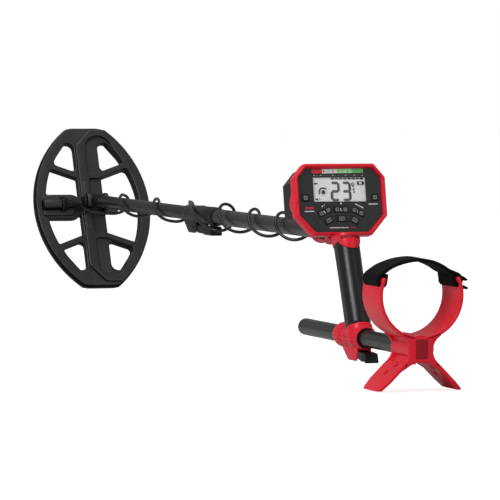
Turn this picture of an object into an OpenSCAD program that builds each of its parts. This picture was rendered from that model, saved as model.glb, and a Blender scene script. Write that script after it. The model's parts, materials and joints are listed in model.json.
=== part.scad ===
// Hand-held metal detector: search coil on a pivoting yoke, sliding lower shaft,
// cam-lever clamps, raked grip, display pod, sliding arm tube with cuff and feet.
// Frame: +X along the shaft towards the coil, +Y to the left, +Z up.
// Origin: where the shaft axis meets the axis of the grip. All sizes in mm.

/* [Coil] */
// Length of the coil from heel to toe
coil_len = 256; // [200:1:300]
// Half width of the coil at its middle
coil_half = 89; // [70:1:110]
// Sideways offset of the centre of each side arc
arc_off = 72; // [50:1:90]
// Angle of the coil plane above the shaft line at rest
coil_angle = 66; // [0:1:90]
// Distance of the coil pivot from the origin along the shaft
pivot_x = 1070; // [900:5:1150]
// Height of the pivot above the middle plane of the coil
pivot_h = 24; // [20:0.5:30]
// Width of the rim of the coil
rim_w = 17; // [12:1:24]
// Half width across the outside of the two pivot ears
ear_out = 16.5; // [14:0.5:20]
// Half width between the inside faces of the two pivot ears
ear_in = 10.6; // [9:0.1:13]

/* [Shafts] */
// Outside radius of the lower shaft
low_r = 9.5; // [8:0.1:12]
// Wall thickness of the lower shaft
low_wall = 1.2; // [0.8:0.1:2.5]
// Inner end of the lower shaft at rest
low_x0 = 430; // [380:5:480]
// Outside radius of the middle shaft and of the arm tube
mid_r = 10.8; // [9:0.1:13]
// Wall thickness of the middle shaft
mid_wall = 1.24; // [0.8:0.01:2]
// Front end of the middle shaft
mid_x1 = 560; // [500:5:620]
// Drop from the shaft axis to the arm tube axis
arm_drop = 126; // [100:1:150]
// Front end of the arm tube
arm_x1 = 140; // [80:5:200]
// Rear end of the arm tube
arm_x0 = -262; // [-320:2:-220]

/* [Grip] */
// Rake of the grip, bottom towards the user
rake = 24; // [0:1:35]
// Width of the grip side to side
grip_w = 30; // [26:0.5:36]
// Depth of the grip front to back
grip_d = 37; // [30:0.5:44]
// Length of the grip sleeve
grip_len = 106; // [90:1:130]

/* [Pod] */
// Width of the pod rim
pod_w = 122; // [100:1:140]
// Height of the pod rim
pod_h = 90; // [70:1:110]
// Backward lean of the display
pod_tilt = 12; // [0:1:30]
// Depth of the whole pod behind the fascia
pod_depth = 50; // [40:1:60]
// Width of the display window
lcd_w = 70; // [50:1:90]
// Height of the display window
lcd_h = 31; // [20:1:40]

/* [Armrest] */
// Outside radius of the cuff
cuff_r = 53.5; // [44:0.5:60]
// Length of the armrest along the tube
cuff_len = 62; // [50:1:90]
// Height of the cuff centre above the arm tube axis
cuff_up = 64; // [50:1:80]
// Height of the arm tube axis above the ground
foot_drop = 50; // [40:1:70]

/* [Clamps] */
// Front face of the forward clamp collar
fc_x1 = 633; // [600:1:660]
// Rear face of the forward clamp collar
fc_x0 = 497; // [480:1:520]
// Front face of the rear clamp
rc_x1 = 8; // [0:1:30]
// Rear face of the rear clamp
rc_x0 = -81; // [-100:1:-60]

/* [Hidden] */
$fn = 64;

COPPER = [0.72,0.42,0.18];
PIN_STEEL = [0.6,0.6,0.62];
SCREW_STEEL = [0.5,0.5,0.52];
LEVER_BLACK = [0.05,0.05,0.05];
SHOE_GREY = [0.2,0.2,0.2];
CABLE_BLACK = [0.06,0.06,0.06];
KEY_GREY = [0.13,0.13,0.13];

// ---------- helpers ----------
// coil frame: z = 0 is the middle plane, x runs heel to toe
module at_coil() {
  translate([pivot_x,0,0]) rotate([0,-coil_angle,0]) translate([0,0,-pivot_h]) children();
}
// handle frame: z along the raked axis of the grip
module at_handle() { rotate([0,rake,0]) children(); }
// arm frame: x along the axis of the arm tube
module at_arm() { translate([0,0,-arm_drop]) children(); }
module x_cyl(r, x0, x1, z=0, y=0) {
  translate([x0,y,z]) rotate([0,90,0]) cylinder(r=r, h=x1-x0);
}
module x_cone(r0, r1, x0, x1) {
  translate([x0,0,0]) rotate([0,90,0]) cylinder(r1=r0, r2=r1, h=x1-x0);
}
module x_tube(r, wall, x0, x1) {
  difference() {
    x_cyl(r, x0, x1);
    x_cyl(r-wall, x0-1, x1+1);
  }
}
module y_cyl(r, y0, y1, x=0, z=0) {
  translate([x,y1,z]) rotate([90,0,0]) cylinder(r=r, h=y1-y0);
}
module slab(z, h) { translate([0,0,z]) linear_extrude(h) children(); }
// extrudes an outline drawn in x and z across the middle plane
module side_profile(width) {
  rotate([90,0,0]) translate([0,0,-width/2]) linear_extrude(width) children();
}
module bar2(from, to, width) {
  run = to-from;
  translate(from) rotate(atan2(run[1], run[0])) translate([0,-width/2]) square([norm(run),width]);
}
module stadium(width, depth) {
  square([depth-width,width], center=true);
  for (s=[-1,1]) translate([s*(depth-width)/2,0]) circle(d=width);
}

// ---------- coil ----------
// side is +1 on the left and -1 on the right, end is +1 at the toe and -1 at the heel
arc_r = coil_half+arc_off;
rim_in_r = arc_r-rim_w;
left_spine = 19.2;   // edge of the left window at the spine
right_spine = 17.8;  // edge of the right window at the spine
window_x = 92;       // centre of the round window ends
pocket_x = 91;       // centre of the round ends of the pocket in the raised part
pocket_r = 21;
pocket_y = -18;
boss_half = 19;
boss_y = 34.2;
entry_h = 12;        // axis of the cable entry above the middle plane
bolt_r = 4;
ear_w = ear_out-ear_in;
ear_r = 12;

module side_arc(side, r) { translate([0,-side*arc_off]) circle(r=r, $fn=180); }
module outline(inset=0) {
  intersection() {
    side_arc(1, arc_r-inset);
    side_arc(-1, arc_r-inset);
    circle(r=coil_len/2+1-inset, $fn=180);
    square([coil_len-1-2*inset,2*coil_half], center=true);
  }
}
module window(side, spine) {
  rim_y = sqrt(rim_in_r*rim_in_r-window_x*window_x)-arc_off;
  intersection() {
    side_arc(side, rim_in_r);
    translate([-window_x,side>0 ? spine : -spine-70]) square([2*window_x,70]);
  }
  for (end=[-1,1]) translate([end*window_x,side*(spine+rim_y)/2]) circle(r=(rim_y-spine)/2);
}
module windows() {
  window(1, left_spine);
  window(-1, right_spine);
}
module spoke(side, end, spine) {
  bar2([end*46.8,side*(spine-8)], [end*67.5,side*66], 8.5);
}
module spokes() {
  for (end=[-1,1]) {
    spoke(1, end, left_spine);
    spoke(-1, end, right_spine);
  }
}
// round-ended pad that carries the cable entry, on the left of the spine
module boss2() {
  translate([-boss_half,boss_y]) square([2*boss_half,47.8]);
  translate([0,boss_y]) circle(r=boss_half);
}
module base2() {
  difference() {
    outline(1.6);
    windows();
  }
  intersection() {
    outline(3);
    spokes();
  }
  intersection() {
    outline(3);
    difference() {
      boss2();
      translate([-40,-20]) square([80,20+left_spine]);
    }
  }
}
// upper layer over the spine and the right half, with a pocket crossed by bars
module raised2() {
  difference() {
    intersection() {
      outline(1.6);
      polygon([[-96,17.5],[96,17.5],[121,-6],[124,-100],[-124,-100],[-121,-6]]);
    }
    difference() {
      union() {
        intersection() {
          side_arc(-1, rim_in_r);
          translate([-pocket_x,-90]) square([2*pocket_x,90+pocket_y+pocket_r]);
        }
        for (end=[-1,1]) translate([end*pocket_x,pocket_y]) circle(r=pocket_r);
      }
      for (end=[-1,1]) {
        spoke(-1, end, right_spine);
        bar2([end*48,4], [end*48,-19], 8.5);
      }
    }
  }
}
// wedge with its point at y = side * reach; its 45 degree flanks cut off corners
module corner_cut(side, reach) {
  polygon([[0,side*reach],[reach+400,-side*400],[-reach-400,-side*400]]);
}
// filled D in plan: leg = offset of the straight leg, arc_cut and leg_cut cut the corners
module dee2(side, r, leg, half_len, arc_cut, leg_cut) {
  intersection() {
    side_arc(side, r);
    translate([-half_len,side>0 ? leg : -leg-140]) square([2*half_len,140]);
    corner_cut(side, arc_cut);
    corner_cut(-side, leg_cut);
  }
}
// windings in plan; grow widens them on all sides to make the channels
module left_dee2(grow=0) {
  diag = grow*1.414;
  difference() {
    dee2(1, arc_r-5.5+grow, -15.5-grow, 119+grow, 145+diag, 240);
    dee2(1, arc_r-11.5-grow, -10+grow, 113-grow, 136.5-diag, 240);
  }
}
module right_dee2(grow=0) {
  diag = grow*1.414;
  difference() {
    dee2(-1, arc_r-4.8+grow, -15.3-grow, 119.2+grow, 240, 111+diag);
    dee2(-1, arc_r-8.8-grow, -11.3+grow, 115.2-grow, 240, 105.3-diag);
  }
}

module coil_shell() color([0.17,0.17,0.18]) at_coil() difference() {
  union() {
    slab(-7.1, 11.1) base2();
    slab(3, 6) raised2();
    // housing of the cable entry
    translate([-16,30,3]) cube([32,49,5]);
    y_cyl(8.2, 52, 80, 0, entry_h);
    translate([-8.2,52,6]) cube([16.4,28,6]);
    // ears of the pivot
    for (y=[-ear_out,ear_in]) {
      translate([-ear_r,y,0]) cube([2*ear_r,ear_w,pivot_h]);
      y_cyl(ear_r, y, y+ear_w, 0, pivot_h);
    }
  }
  // channels for the windings, open underneath
  slab(-8, 7.6) left_dee2(0.4);
  slab(-8, 14.6) right_dee2(0.3);
  y_cyl(bolt_r+0.05, -20, 20, 0, pivot_h);
  // room for the gland and the strain relief
  y_cyl(8.95, 43.6, 51.95, 0, entry_h);
  y_cyl(6.1, 20, 44, 0, entry_h);
  // bore for the gland and the way down for the wires
  y_cyl(5.06, 50, 70, 0, entry_h);
  y_cyl(2.4, 60, 76, 0, entry_h);
  translate([0,74,-8]) cylinder(r=2.4, h=22);
}
module coil_skid() color([0.10,0.10,0.11]) at_coil() {
  slab(-9, 1.85) difference() {
    outline();
    difference() {
      windows();
      spokes();
      boss2();
    }
  }
  slab(-9, 6) difference() {
    outline();
    outline(1.55);
  }
}
module winding_left() color(COPPER) at_coil() slab(-6.6, 5.6) left_dee2();
module winding_right() color(COPPER) at_coil() slab(0.4, 5.6) right_dee2();
module cable_gland() color([0.12,0.12,0.13]) at_coil() translate([0,0,entry_h]) difference() {
  union() {
    y_cyl(5, 51.9, 64);
    y_cyl(8, 44, 51.9);
    // gripping ribs
    for (i=[0:7]) rotate([0,i*45,0]) translate([-1.4,44.5,6.8]) cube([2.8,6.5,1.8]);
  }
  y_cyl(2.5, 40, 70);
  y_cyl(4.3, 40, 50);
}
module strain_relief() color([0.08,0.08,0.08]) at_coil() translate([0,0,entry_h]) difference() {
  union() {
    y_cyl(4.2, 26, 49.8);
    // rings that shrink away from the gland
    for (i=[0:4]) y_cyl(5.8-0.22*(4-i), 26+3.4*i, 27.9+3.4*i);
  }
  y_cyl(2.4, 20, 52);
}
// head on the right, thread out to the left
module pivot_bolt() color([0.06,0.06,0.06]) {
  y_cyl(bolt_r, -ear_out-0.02, ear_out+5.1, pivot_x);
  translate([pivot_x,-ear_out-0.02,0]) rotate([90,0,0]) cylinder(r=8, h=5.5, $fn=6);
}

// ---------- pivot and lower shaft ----------
yoke_half = 8.5;        // half width of the yoke between the washers
collar_x = 1040;        // rear face of the yoke collar, at the end of the lower tube
collar_r = low_r+0.8;
low_in_r = low_r-low_wall;
mid_x0 = 30;

module pivot_washers() color([0.15,0.15,0.15]) difference() {
  y_in = yoke_half+0.05;
  y_out = ear_in-0.05;
  for (y=[-y_out,y_in]) y_cyl(9.5, y, y+y_out-y_in, pivot_x);
  y_cyl(bolt_r+0.1, -12, 12, pivot_x);
}
module pivot_nut() color([0.07,0.07,0.07]) translate([pivot_x,0,0]) difference() {
  union() {
    y_cyl(8.5, ear_out+0.1, ear_out+4.5);
    for (i=[0:5]) rotate([0,i*60,0]) translate([7.2,ear_out+0.6,-2]) cube([2.4,3.4,4]);
  }
  y_cyl(bolt_r+0.06, 0, 40);
}
module yoke() color([0.08,0.08,0.08]) difference() {
  union() {
    x_cyl(low_in_r-0.03, 1016, 1043);
    x_cyl(collar_r, collar_x, 1052);
    // flattened tongue with a round end
    intersection() {
      x_cyl(collar_r, 1050, 1082);
      union() {
        translate([1050,-yoke_half,-11]) cube([20,2*yoke_half,22]);
        y_cyl(10.3, -yoke_half, yoke_half, pivot_x);
      }
    }
  }
  y_cyl(bolt_r+0.05, -12, 12, pivot_x);
}
module lower_tube() color([0.12,0.12,0.12]) x_tube(low_r, low_wall, low_x0, collar_x-0.1);
module lower_bush() color([0.85,0.85,0.82]) difference() {
  union() {
    x_cyl(low_r+0.01, low_x0-9, low_x0-0.05);
    x_cyl(low_in_r-0.03, low_x0-0.1, low_x0+18);
  }
  x_cyl(low_in_r-2, low_x0-12, low_x0+20);
}
module mid_tube() color([0.13,0.13,0.14]) x_tube(mid_r, mid_wall, mid_x0, mid_x1);

// ---------- forward clamp ----------
fc_pin_x = 590;
fc_pin_z = -18.4;
fc_step_x = 570;  // where the collar starts to taper forwards
pin_r = 1.97;     // pin, cam and clearances are common to both clamps
pin_hole_r = pin_r+0.05;
lever_hole_r = pin_r+0.09;
cam_r = 4.8;

module front_clamp_body() color([0.09,0.09,0.09]) difference() {
  union() {
    x_cyl(12.6, fc_x0+4, fc_step_x);
    x_cone(12.6, 11.7, fc_step_x, fc_x1-4);
    x_cone(11.6, 12.6, fc_x0, fc_x0+4);
    x_cone(11.7, 10.9, fc_x1-4, fc_x1);
    x_cyl(13, fc_step_x-4, fc_step_x);
    side_profile(18)
      polygon([[568,0],[621,0],[621,-12],[602,-25.6],[577,-25.6],[568,-22]]);
  }
  x_cyl(mid_r+0.04, fc_x0-1, mid_x1+0.3);
  x_cyl(low_r+0.06, mid_x1, fc_x1+1);
  // slot for shoe and cam, open underneath and behind
  translate([574,-6.2,-40]) cube([32,12.4,40]);
  translate([560,-6.2,-40]) cube([20,12.4,26.5]);
  y_cyl(pin_hole_r, -12, 12, fc_pin_x, fc_pin_z);
}
module front_clamp_pin() color(PIN_STEEL) y_cyl(pin_r, -8.9, 8.9, fc_pin_x, fc_pin_z);
module front_clamp_shoe() color(SHOE_GREY) {
  translate([576,-6,-12.7]) cube([28,12,12.7-low_r-0.1]);
}
module front_clamp_lever() color(LEVER_BLACK) difference() {
  union() {
    y_cyl(cam_r, -6, 6, fc_pin_x, fc_pin_z+0.5);
    translate([560,-6,-23.2]) cube([30,12,7.2]);
    side_profile(16) polygon([[567.5,-14.2],[567.5,-24.6],[512,-25.6],[505,-26.4],
      [506,-14.6],[512,-13.6]]);
    for (i=[0:4]) translate([520+i*8,-8,-26.1]) cube([3.4,16,2.4]);
  }
  y_cyl(lever_hole_r, -12, 12, fc_pin_x, fc_pin_z);
}

// ---------- handle ----------
FRAME_SCREW_X = [36,54];  // screws between the handle frame and the pod
core_w = 19;              // core of the grip, inside the sleeve
core_d = 26;
core_wall = 3;
head_w = grip_w+4;        // head of the frame, above the sleeve
head_d = grip_d+4;

// cross hole through the foot of the core and the rear clamp
module core_hole() {
  at_handle() translate([0,0,-124]) rotate([90,0,0]) cylinder(r=1.6, h=40, center=true);
}
module handle_frame() color([0.78,0.10,0.14]) difference() {
  union() {
    x_cyl(15, 22, 88);
    translate([20,-15,0]) cube([66,30,15.2]);
    x_cyl(16, 82, 86);
    at_handle() intersection() {
      slab(-14, 26) stadium(head_w, head_d);
      translate([-40,-13.7,-20]) cube([80,27.4,60]);
    }
    at_handle() slab(-127, 116) stadium(core_w, core_d);
    side_profile(24) polygon([[-4,-6],[60,-8],[34,-15.5],[8,-16],[-4,-12.8]]);
    // tongue over the back of the grip
    at_handle() intersection() {
      slab(-25, 12) difference() {
        stadium(head_w, head_d);
        stadium(grip_w+0.2, grip_d+0.2);
      }
      x_cyl(14, -40, -4, -11);
    }
  }
  // room for the pod bezel
  at_pod() slab(-bezel_depth-0.15, 30) pod_outline(-0.1, RIM_CUTS);
  x_cyl(mid_r+0.03, mid_x0-0.1, 150);
  at_handle() slab(-130, 112) stadium(core_w-2*core_wall, core_d-2*core_wall);
  // slots in both sides of the shaft socket
  for (x=[40,60], y=[-17,12.5]) translate([x,y,-9]) cube([14,4.5,5]);
  for (x=FRAME_SCREW_X) translate([x,0,5]) cylinder(r=1.6, h=12);
  core_hole();
  // way for the arm tube
  at_arm() x_cyl(mid_r+0.3, -120, 60);
}
module grip_sleeve() color([0.10,0.10,0.11]) difference() {
  at_handle() slab(-14.1-grip_len, grip_len) stadium(grip_w, grip_d);
  at_handle() slab(-200, 200) stadium(core_w+0.1, core_d+0.1);
  at_arm() x_cyl(16.05, rc_x0-10, rc_x1+10);
}
module frame_screws() color(SCREW_STEEL) {
  for (x=FRAME_SCREW_X) translate([x,0,12.4]) cylinder(r=1.5, h=8);
}

// ---------- rear clamp ----------
// pin position in the arm frame
rc_pin_x = -46;
rc_pin_z = -19.9;
bush_r = 12.6;

module rear_clamp_body() color([0.80,0.16,0.19]) difference() {
  union() {
    at_arm() {
      x_cyl(15.2, rc_x0+5, rc_x1-6);
      x_cone(15.2, bush_r, rc_x1-6, rc_x1);
      x_cone(14, 15.2, rc_x0, rc_x0+5);
      for (i=[0:2]) x_cyl(15.9, -66+i*24, -54+i*24);
      side_profile(19) polygon([[-12,0],[-66,0],[-66,-20],[-60,-29],[-32,-29],[-12,-16]]);
    }
    // socket for the foot of the core
    at_handle() slab(-137.9, 17.4) stadium(grip_w+2, grip_d+3);
  }
  at_arm() {
    x_cyl(mid_r+0.06, rc_x0-1, rc_x1+1);
    x_cyl(bush_r+0.02, rc_x0-1, rc_x0+22);
    // slot for shoe and cam, open underneath and behind
    translate([-62,-6.7,-50]) cube([34,13.4,50]);
    translate([-72,-6.7,-50]) cube([24,13.4,34.5]);
    y_cyl(pin_hole_r, -12, 12, rc_pin_x, rc_pin_z);
  }
  at_handle() slab(-127.1, 20) stadium(core_w+0.1, core_d+0.1);
  core_hole();
}
module rear_clamp_bush() color([0.05,0.05,0.05]) at_arm() difference() {
  x_cyl(bush_r, rc_x0+0.5, rc_x0+21.9);
  x_cyl(mid_r+0.06, rc_x0-1, rc_x0+30);
  translate([-72,-6.7,-50]) cube([24,13.4,40]);
}
module rear_clamp_pin() color(PIN_STEEL) at_arm() y_cyl(pin_r, -9.4, 9.4, rc_pin_x, rc_pin_z);
module rear_clamp_shoe() color(SHOE_GREY) at_arm() {
  translate([-60,-6.5,-14.3]) cube([30,13,14.3-mid_r-0.1]);
}
module rear_clamp_lever() color(LEVER_BLACK) at_arm() difference() {
  union() {
    y_cyl(cam_r, -6.5, 6.5, rc_pin_x, rc_pin_z+0.5);
    translate([-69,-6.5,-25]) cube([22,13,8]);
    side_profile(18) polygon([[-67,-16.2],[-67,-26.5],[-94,-27.6],[-101,-30.5],
      [-102,-27],[-97,-17.5]]);
    for (i=[0:2]) translate([-90+i*7,-9,-28.3]) cube([3.4,18,1.9]);
  }
  y_cyl(lever_hole_r, -12, 12, rc_pin_x, rc_pin_z);
}

// ---------- arm ----------
arm_wall = 1.2;
plug_r = mid_r-arm_wall-0.03;
rest_x0 = arm_x0-6;         // rear face of the armrest
rest_x1 = rest_x0+cuff_len;
REST_SCREW_X = [-240,-222];
foot_r = 14;                // rounding at the foot ends, seen from the side
strap_x0 = rest_x0+6;
strap_w = 50;

module rest_screw_holes(r, z) {
  for (x=REST_SCREW_X) translate([x,0,z]) cylinder(r=r, h=-z);
}
module arm_tube() color([0.16,0.18,0.18]) at_arm() difference() {
  x_tube(mid_r, arm_wall, arm_x0, arm_x1);
  rest_screw_holes(1.75, -14);
}
module arm_plug_front() color([0.07,0.07,0.07]) at_arm() {
  x_cyl(plug_r, arm_x1-18, arm_x1+0.1);
  x_cyl(mid_r, arm_x1+0.03, arm_x1+2);
  x_cone(mid_r, mid_r-2, arm_x1+2, arm_x1+4);
}
module arm_plug_rear() color([0.07,0.07,0.07]) at_arm() difference() {
  x_cyl(plug_r, arm_x0, arm_x0+50);
  rest_screw_holes(1.65, -14);
}

// sections of the armrest are drawn across the arm tube: x to the left, y up
module along_arm(x, length) { translate([x,0,0]) rotate([90,0,90]) linear_extrude(length) children(); }
module cuff_disc(r) { translate([0,cuff_up]) circle(r=r, $fn=120); }
module cuff2() {
  difference() {
    cuff_disc(cuff_r);
    cuff_disc(cuff_r-4);
    translate([-80,cuff_up+22]) square([160,80]);
  }
}
// waisted hub between the cuff and the legs
module hub2() {
  difference() {
    polygon([[-24.5,18],[24.5,18],[35,-1.5],[20.8,-15.7],[16.2,-21],
      [-16.2,-21],[-20.8,-15.7],[-35,-1.5]]);
    for (s=[-1,1]) translate([s*34.9,-1.6]) circle(r=20, $fn=96);
    translate([0,-45]) circle(r=29, $fn=96);
    cuff_disc(cuff_r-3.6);
  }
}
module leg2(side) {
  intersection() {
    translate([side*30.77,-25.72]) rotate(side>0 ? -45 : 225)
      translate([-18,side>0 ? -4.5 : 0]) square([64,4.5]);
    translate([-80,-foot_drop]) square([160,60]);
  }
}
module armrest() color([0.86,0.16,0.20]) at_arm() difference() {
  intersection() {
    union() {
      along_arm(rest_x0, cuff_len) cuff2();
      along_arm(rest_x0, cuff_len) hub2();
      for (side=[-1,1]) along_arm(rest_x0, cuff_len) leg2(side);
      x_cyl(16.5, rest_x0+2, rest_x1);
    }
    // side view, with rounded ends to the feet
    side_profile(160) {
      translate([rest_x0,-36]) square([cuff_len,140]);
      translate([rest_x0+6,-foot_drop]) square([cuff_len-12,20]);
      for (x=[rest_x0+foot_r,rest_x1-foot_r]) translate([x,-36]) circle(r=foot_r);
    }
  }
  // tube socket
  x_cyl(mid_r+0.03, arm_x0-0.1, -190);
  // rear pocket of the hub
  translate([-270,-8,-12]) cube([5,16,24]);
  // strap slots below the top bars
  for (y=[-60,40]) translate([strap_x0-2,y,cuff_up+6]) cube([strap_w+4,20,9.6]);
  // two round holes through each leg
  for (s=[-1,1], k=[0,1]) translate([-247+k*10,s*(24.7+k*9),-20-k*9])
    rotate([s*-45,0,0]) cylinder(r=3.5, h=26, center=true);
  rest_screw_holes(1.7, -30);
}
module armrest_screws() color([0.55,0.55,0.57]) at_arm() {
  for (x=REST_SCREW_X) {
    translate([x,0,-17.6]) cylinder(r=1.6, h=13);
    translate([x,0,-20.1]) cylinder(r=3.2, h=3.4);
  }
}
// webbing in section: ends turned round the two top bars and an arch between them
module strap2() {
  translate([0,cuff_up]) {
    difference() {
      translate([0,-28.4]) circle(r=72.4, $fn=120);
      translate([0,-28.4]) circle(r=70.4, $fn=120);
      translate([-80,-120]) square([160,137.2]);
    }
    for (x=[-55.3,53.3]) translate([x,6.2]) square([2,11.8]);
    for (x=[-55.3,45.7]) translate([x,6.4]) square([9.6,1.8]);
    translate([-62.3,8]) square([8,2]);
  }
}
module arm_strap() color([0.08,0.08,0.08]) at_arm() along_arm(strap_x0, strap_w) strap2();

// ---------- pod ----------
// pod frame: x to the right, y up, z towards the user, z = 0 on the face of the fascia
pod_x = 17;
pod_z = 41;
bezel_depth = 16;
face_half_w = 55;
face_half_h = 40.5;
// corner cuts of an outline: top x, top y, bottom x, bottom y
RIM_CUTS = [14.5,17,22,25];
CAVITY_CUTS = [14,16.5,21.5,24.5];
FACE_CUTS = [10,12,20,21.5];
post_x = 48;
post_y = 30;
lcd_y = 14;
speaker_y = -2;
headphone_at = [-24,-2,0];
socket_at = [22,-2,0];
floor_z = 15.3;  // underside of the pod, above the shaft axis
key_z = -2.8;    // back of the keys
key_h = 4.1;
// x, y, angle, width, height
KEYS = [[-46.3,3.4,0,9.6,8.8], [46.3,3.4,0,9.6,8.8],
  [-17.2,-25.4,25,12,8], [0,-23.4,0,15,8], [17.2,-25.4,-25,12,8]];
ROCKERS = [[-22,-14.6,25,18.6,7.4], [0,-11.8,0,19.6,7.4], [22,-14.6,-25,18.6,7.4]];

module at_pod() {
  translate([pod_x,0,pod_z]) rotate([0,pod_tilt,0]) rotate([90,0,-90]) children();
}
module octagon(w, h, cuts) {
  polygon([[-w+cuts[0],h],[w-cuts[0],h],[w,h-cuts[1]],[w,-h+cuts[3]],
    [w-cuts[2],-h],[-w+cuts[2],-h],[-w,-h+cuts[3]],[-w,h-cuts[1]]]);
}
module pod_outline(inset, cuts) { octagon(pod_w/2-inset, pod_h/2-inset, cuts); }
module face_outline(inset=0) { octagon(face_half_w-inset, face_half_h-inset, FACE_CUTS); }
module below(z) { translate([-200,-200,z-300]) cube([600,400,300]); }
module lcd_box(w, h, z, depth) { translate([-w/2,lcd_y-h/2,z]) cube([w,h,depth]); }
module key_outline(key, gap=0) {
  translate([key[0],key[1]]) rotate(key[2]) square([key[3]+gap,key[4]+gap], center=true);
}

module pod_bezel() color([0.85,0.12,0.17]) at_pod() difference() {
  union() {
    slab(-bezel_depth, 17) pod_outline(0, RIM_CUTS);
    slab(0.9, 2.3) pod_outline(0.8, [14.2,16.7,21.8,24.8]);
    slab(3.1, 1.9) pod_outline(2.2, [13.5,16,21.3,24.2]);
    // bulge of the loudspeaker on the left side
    translate([-pod_w/2+1,speaker_y,-9]) rotate([0,-90,0]) cylinder(r1=13, r2=11, h=3);
  }
  slab(-1.55, 10) face_outline(-0.1);
  slab(-14, 14) face_outline(2.5);
  slab(-17, 10) difference() {
    face_outline(2.5);
    translate([-70,-80]) square([140,58]);
  }
  // grille holes
  for (a=[-1:1], b=[-1:1])
    x_cyl(0.9, -pod_w/2-8, -pod_w/2+6, -9+b*4.4, speaker_y+a*5);
  for (x=[-post_x,post_x], y=[post_y,-17]) translate([x,y,-16.5]) cylinder(r=1.25, h=6);
}
module pod_rear() color([0.10,0.10,0.11]) difference() {
  at_pod() {
    slab(-pod_depth+4, pod_depth-4-bezel_depth-0.05) pod_outline(2, RIM_CUTS);
    slab(-pod_depth, 4.05) pod_outline(5, RIM_CUTS);
  }
  below(floor_z);
  // cavity, above the floor
  difference() {
    at_pod() {
      slab(-pod_depth+4, pod_depth) pod_outline(4.5, CAVITY_CUTS);
      slab(-pod_depth+2.5, 6.05) pod_outline(7.5, CAVITY_CUTS);
    }
    below(floor_z+2.5);
  }
  at_pod() {
    // opening of the battery drawer on the right side
    translate([50,-9,-46]) cube([20,34,34]);
    // sockets at the front
    translate(socket_at) translate([0,0,-60]) cylinder(r=7.55, h=20);
    translate(headphone_at) translate([0,0,-60]) cylinder(r=4.05, h=20);
    for (x=[-post_x,post_x]) translate([x,post_y,-60]) cylinder(r=1.6, h=45);
  }
  for (x=FRAME_SCREW_X) translate([x,0,10]) cylinder(r=1.6, h=12);
}
module pod_screws() color(SCREW_STEEL) at_pod() {
  for (x=[-post_x,post_x]) {
    translate([x,post_y,-51.4]) cylinder(r=2.6, h=1.35);
    translate([x,post_y,-50.2]) cylinder(r=1.2, h=38);
  }
}
module fascia() color([0.11,0.12,0.12]) at_pod() difference() {
  slab(-1.5, 1.5) face_outline();
  lcd_box(lcd_w, lcd_h, -5, 10);
  for (key=concat(KEYS, ROCKERS)) slab(-5, 10) key_outline(key, 0.6);
}
module lcd_window() color([0.75,0.80,0.80]) at_pod() lcd_box(lcd_w-0.1, lcd_h-0.1, -1.45, 1.3);
module lcd_module() color([0.55,0.58,0.56]) at_pod() {
  lcd_box(73, 35, -4.2, 2.6);
  lcd_box(76, 38, -7, 2.9);
}
module keypad_sheet() color([0.3,0.3,0.32]) at_pod() difference() {
  slab(-5.8, 1.6) face_outline(3);
  translate([-39,lcd_y-20,-10]) cube([78,60,10]);
}
module main_board() color([0.05,0.30,0.16]) at_pod() {
  translate([-44,-17,-10]) cube([86,52,1.6]);
  // components on the front side
  translate([-14,-6,-12.2]) cube([14,14,2.25]);
  translate([10,8,-11.6]) cube([10,7,1.65]);
  translate([-36,10,-12.4]) cube([9,9,2.45]);
}
module speaker() color([0.12,0.12,0.12]) at_pod() {
  x_cyl(7, -52.2, -49.6, -13.2, speaker_y);
  x_cyl(4.5, -49.7, -46.3, -13.2, speaker_y);
}
module battery_tray() color([0.14,0.14,0.15]) at_pod() difference() {
  translate([-6.5,-7.6,-45.6]) cube([63.05,31.8,29.2]);
  translate([-4.6,-6.4,-50]) cube([54,29.4,40]);
  translate([51.5,-6.4,-50]) cube([3,29.4,40]);
}
module battery_cells() color([0.85,0.60,0.15]) at_pod() {
  for (a=[0,1], b=[0,1]) translate([-3.8,0.9+a*14.8,-38.3+b*14.6]) {
    x_cyl(7.15, 0, 49.2);
    x_cyl(2.7, 49.1, 50.6);
  }
}
module battery_door() color([0.09,0.09,0.10]) at_pod() {
  translate([56.6,-8.8,-45.8]) cube([2.3,33.6,29.4]);
  for (z=[-44.5,-40.5]) translate([58.8,2,z]) cube([1,12,2.4]);
}
module headphone_socket() color([0.2,0.2,0.2]) at_pod() translate(headphone_at) difference() {
  union() {
    translate([0,0,-51]) cylinder(r=4, h=13);
    translate([0,0,-51.2]) cylinder(r=5, h=1.15);
    translate([-5.5,-5.5,-47.4]) cube([11,11,11.5]);
  }
  translate([0,0,-52]) cylinder(r=1.78, h=15);
}
module cable_socket() color([0.2,0.2,0.2]) at_pod() translate(socket_at) difference() {
  union() {
    translate([0,0,-53]) cylinder(r=7.5, h=6.4);
    translate([0,0,-54.5]) cylinder(r=8.8, h=4.45);
  }
  translate([0,0,-60]) cylinder(r=5.6, h=10.6);
}
module cable_plug() color([0.07,0.07,0.07]) at_pod() translate(socket_at) difference() {
  union() {
    translate([0,0,-59]) cylinder(r=5.5, h=9.4);
    translate([0,0,-70]) cylinder(r=8.4, h=13);
    translate([0,0,-80]) cylinder(r1=3.6, r2=6, h=10.05);
  }
  translate([0,0,-82]) cylinder(r=2.3, h=14);
}
module key(key) { at_pod() slab(key_z, key_h) key_outline(key); }
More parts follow.
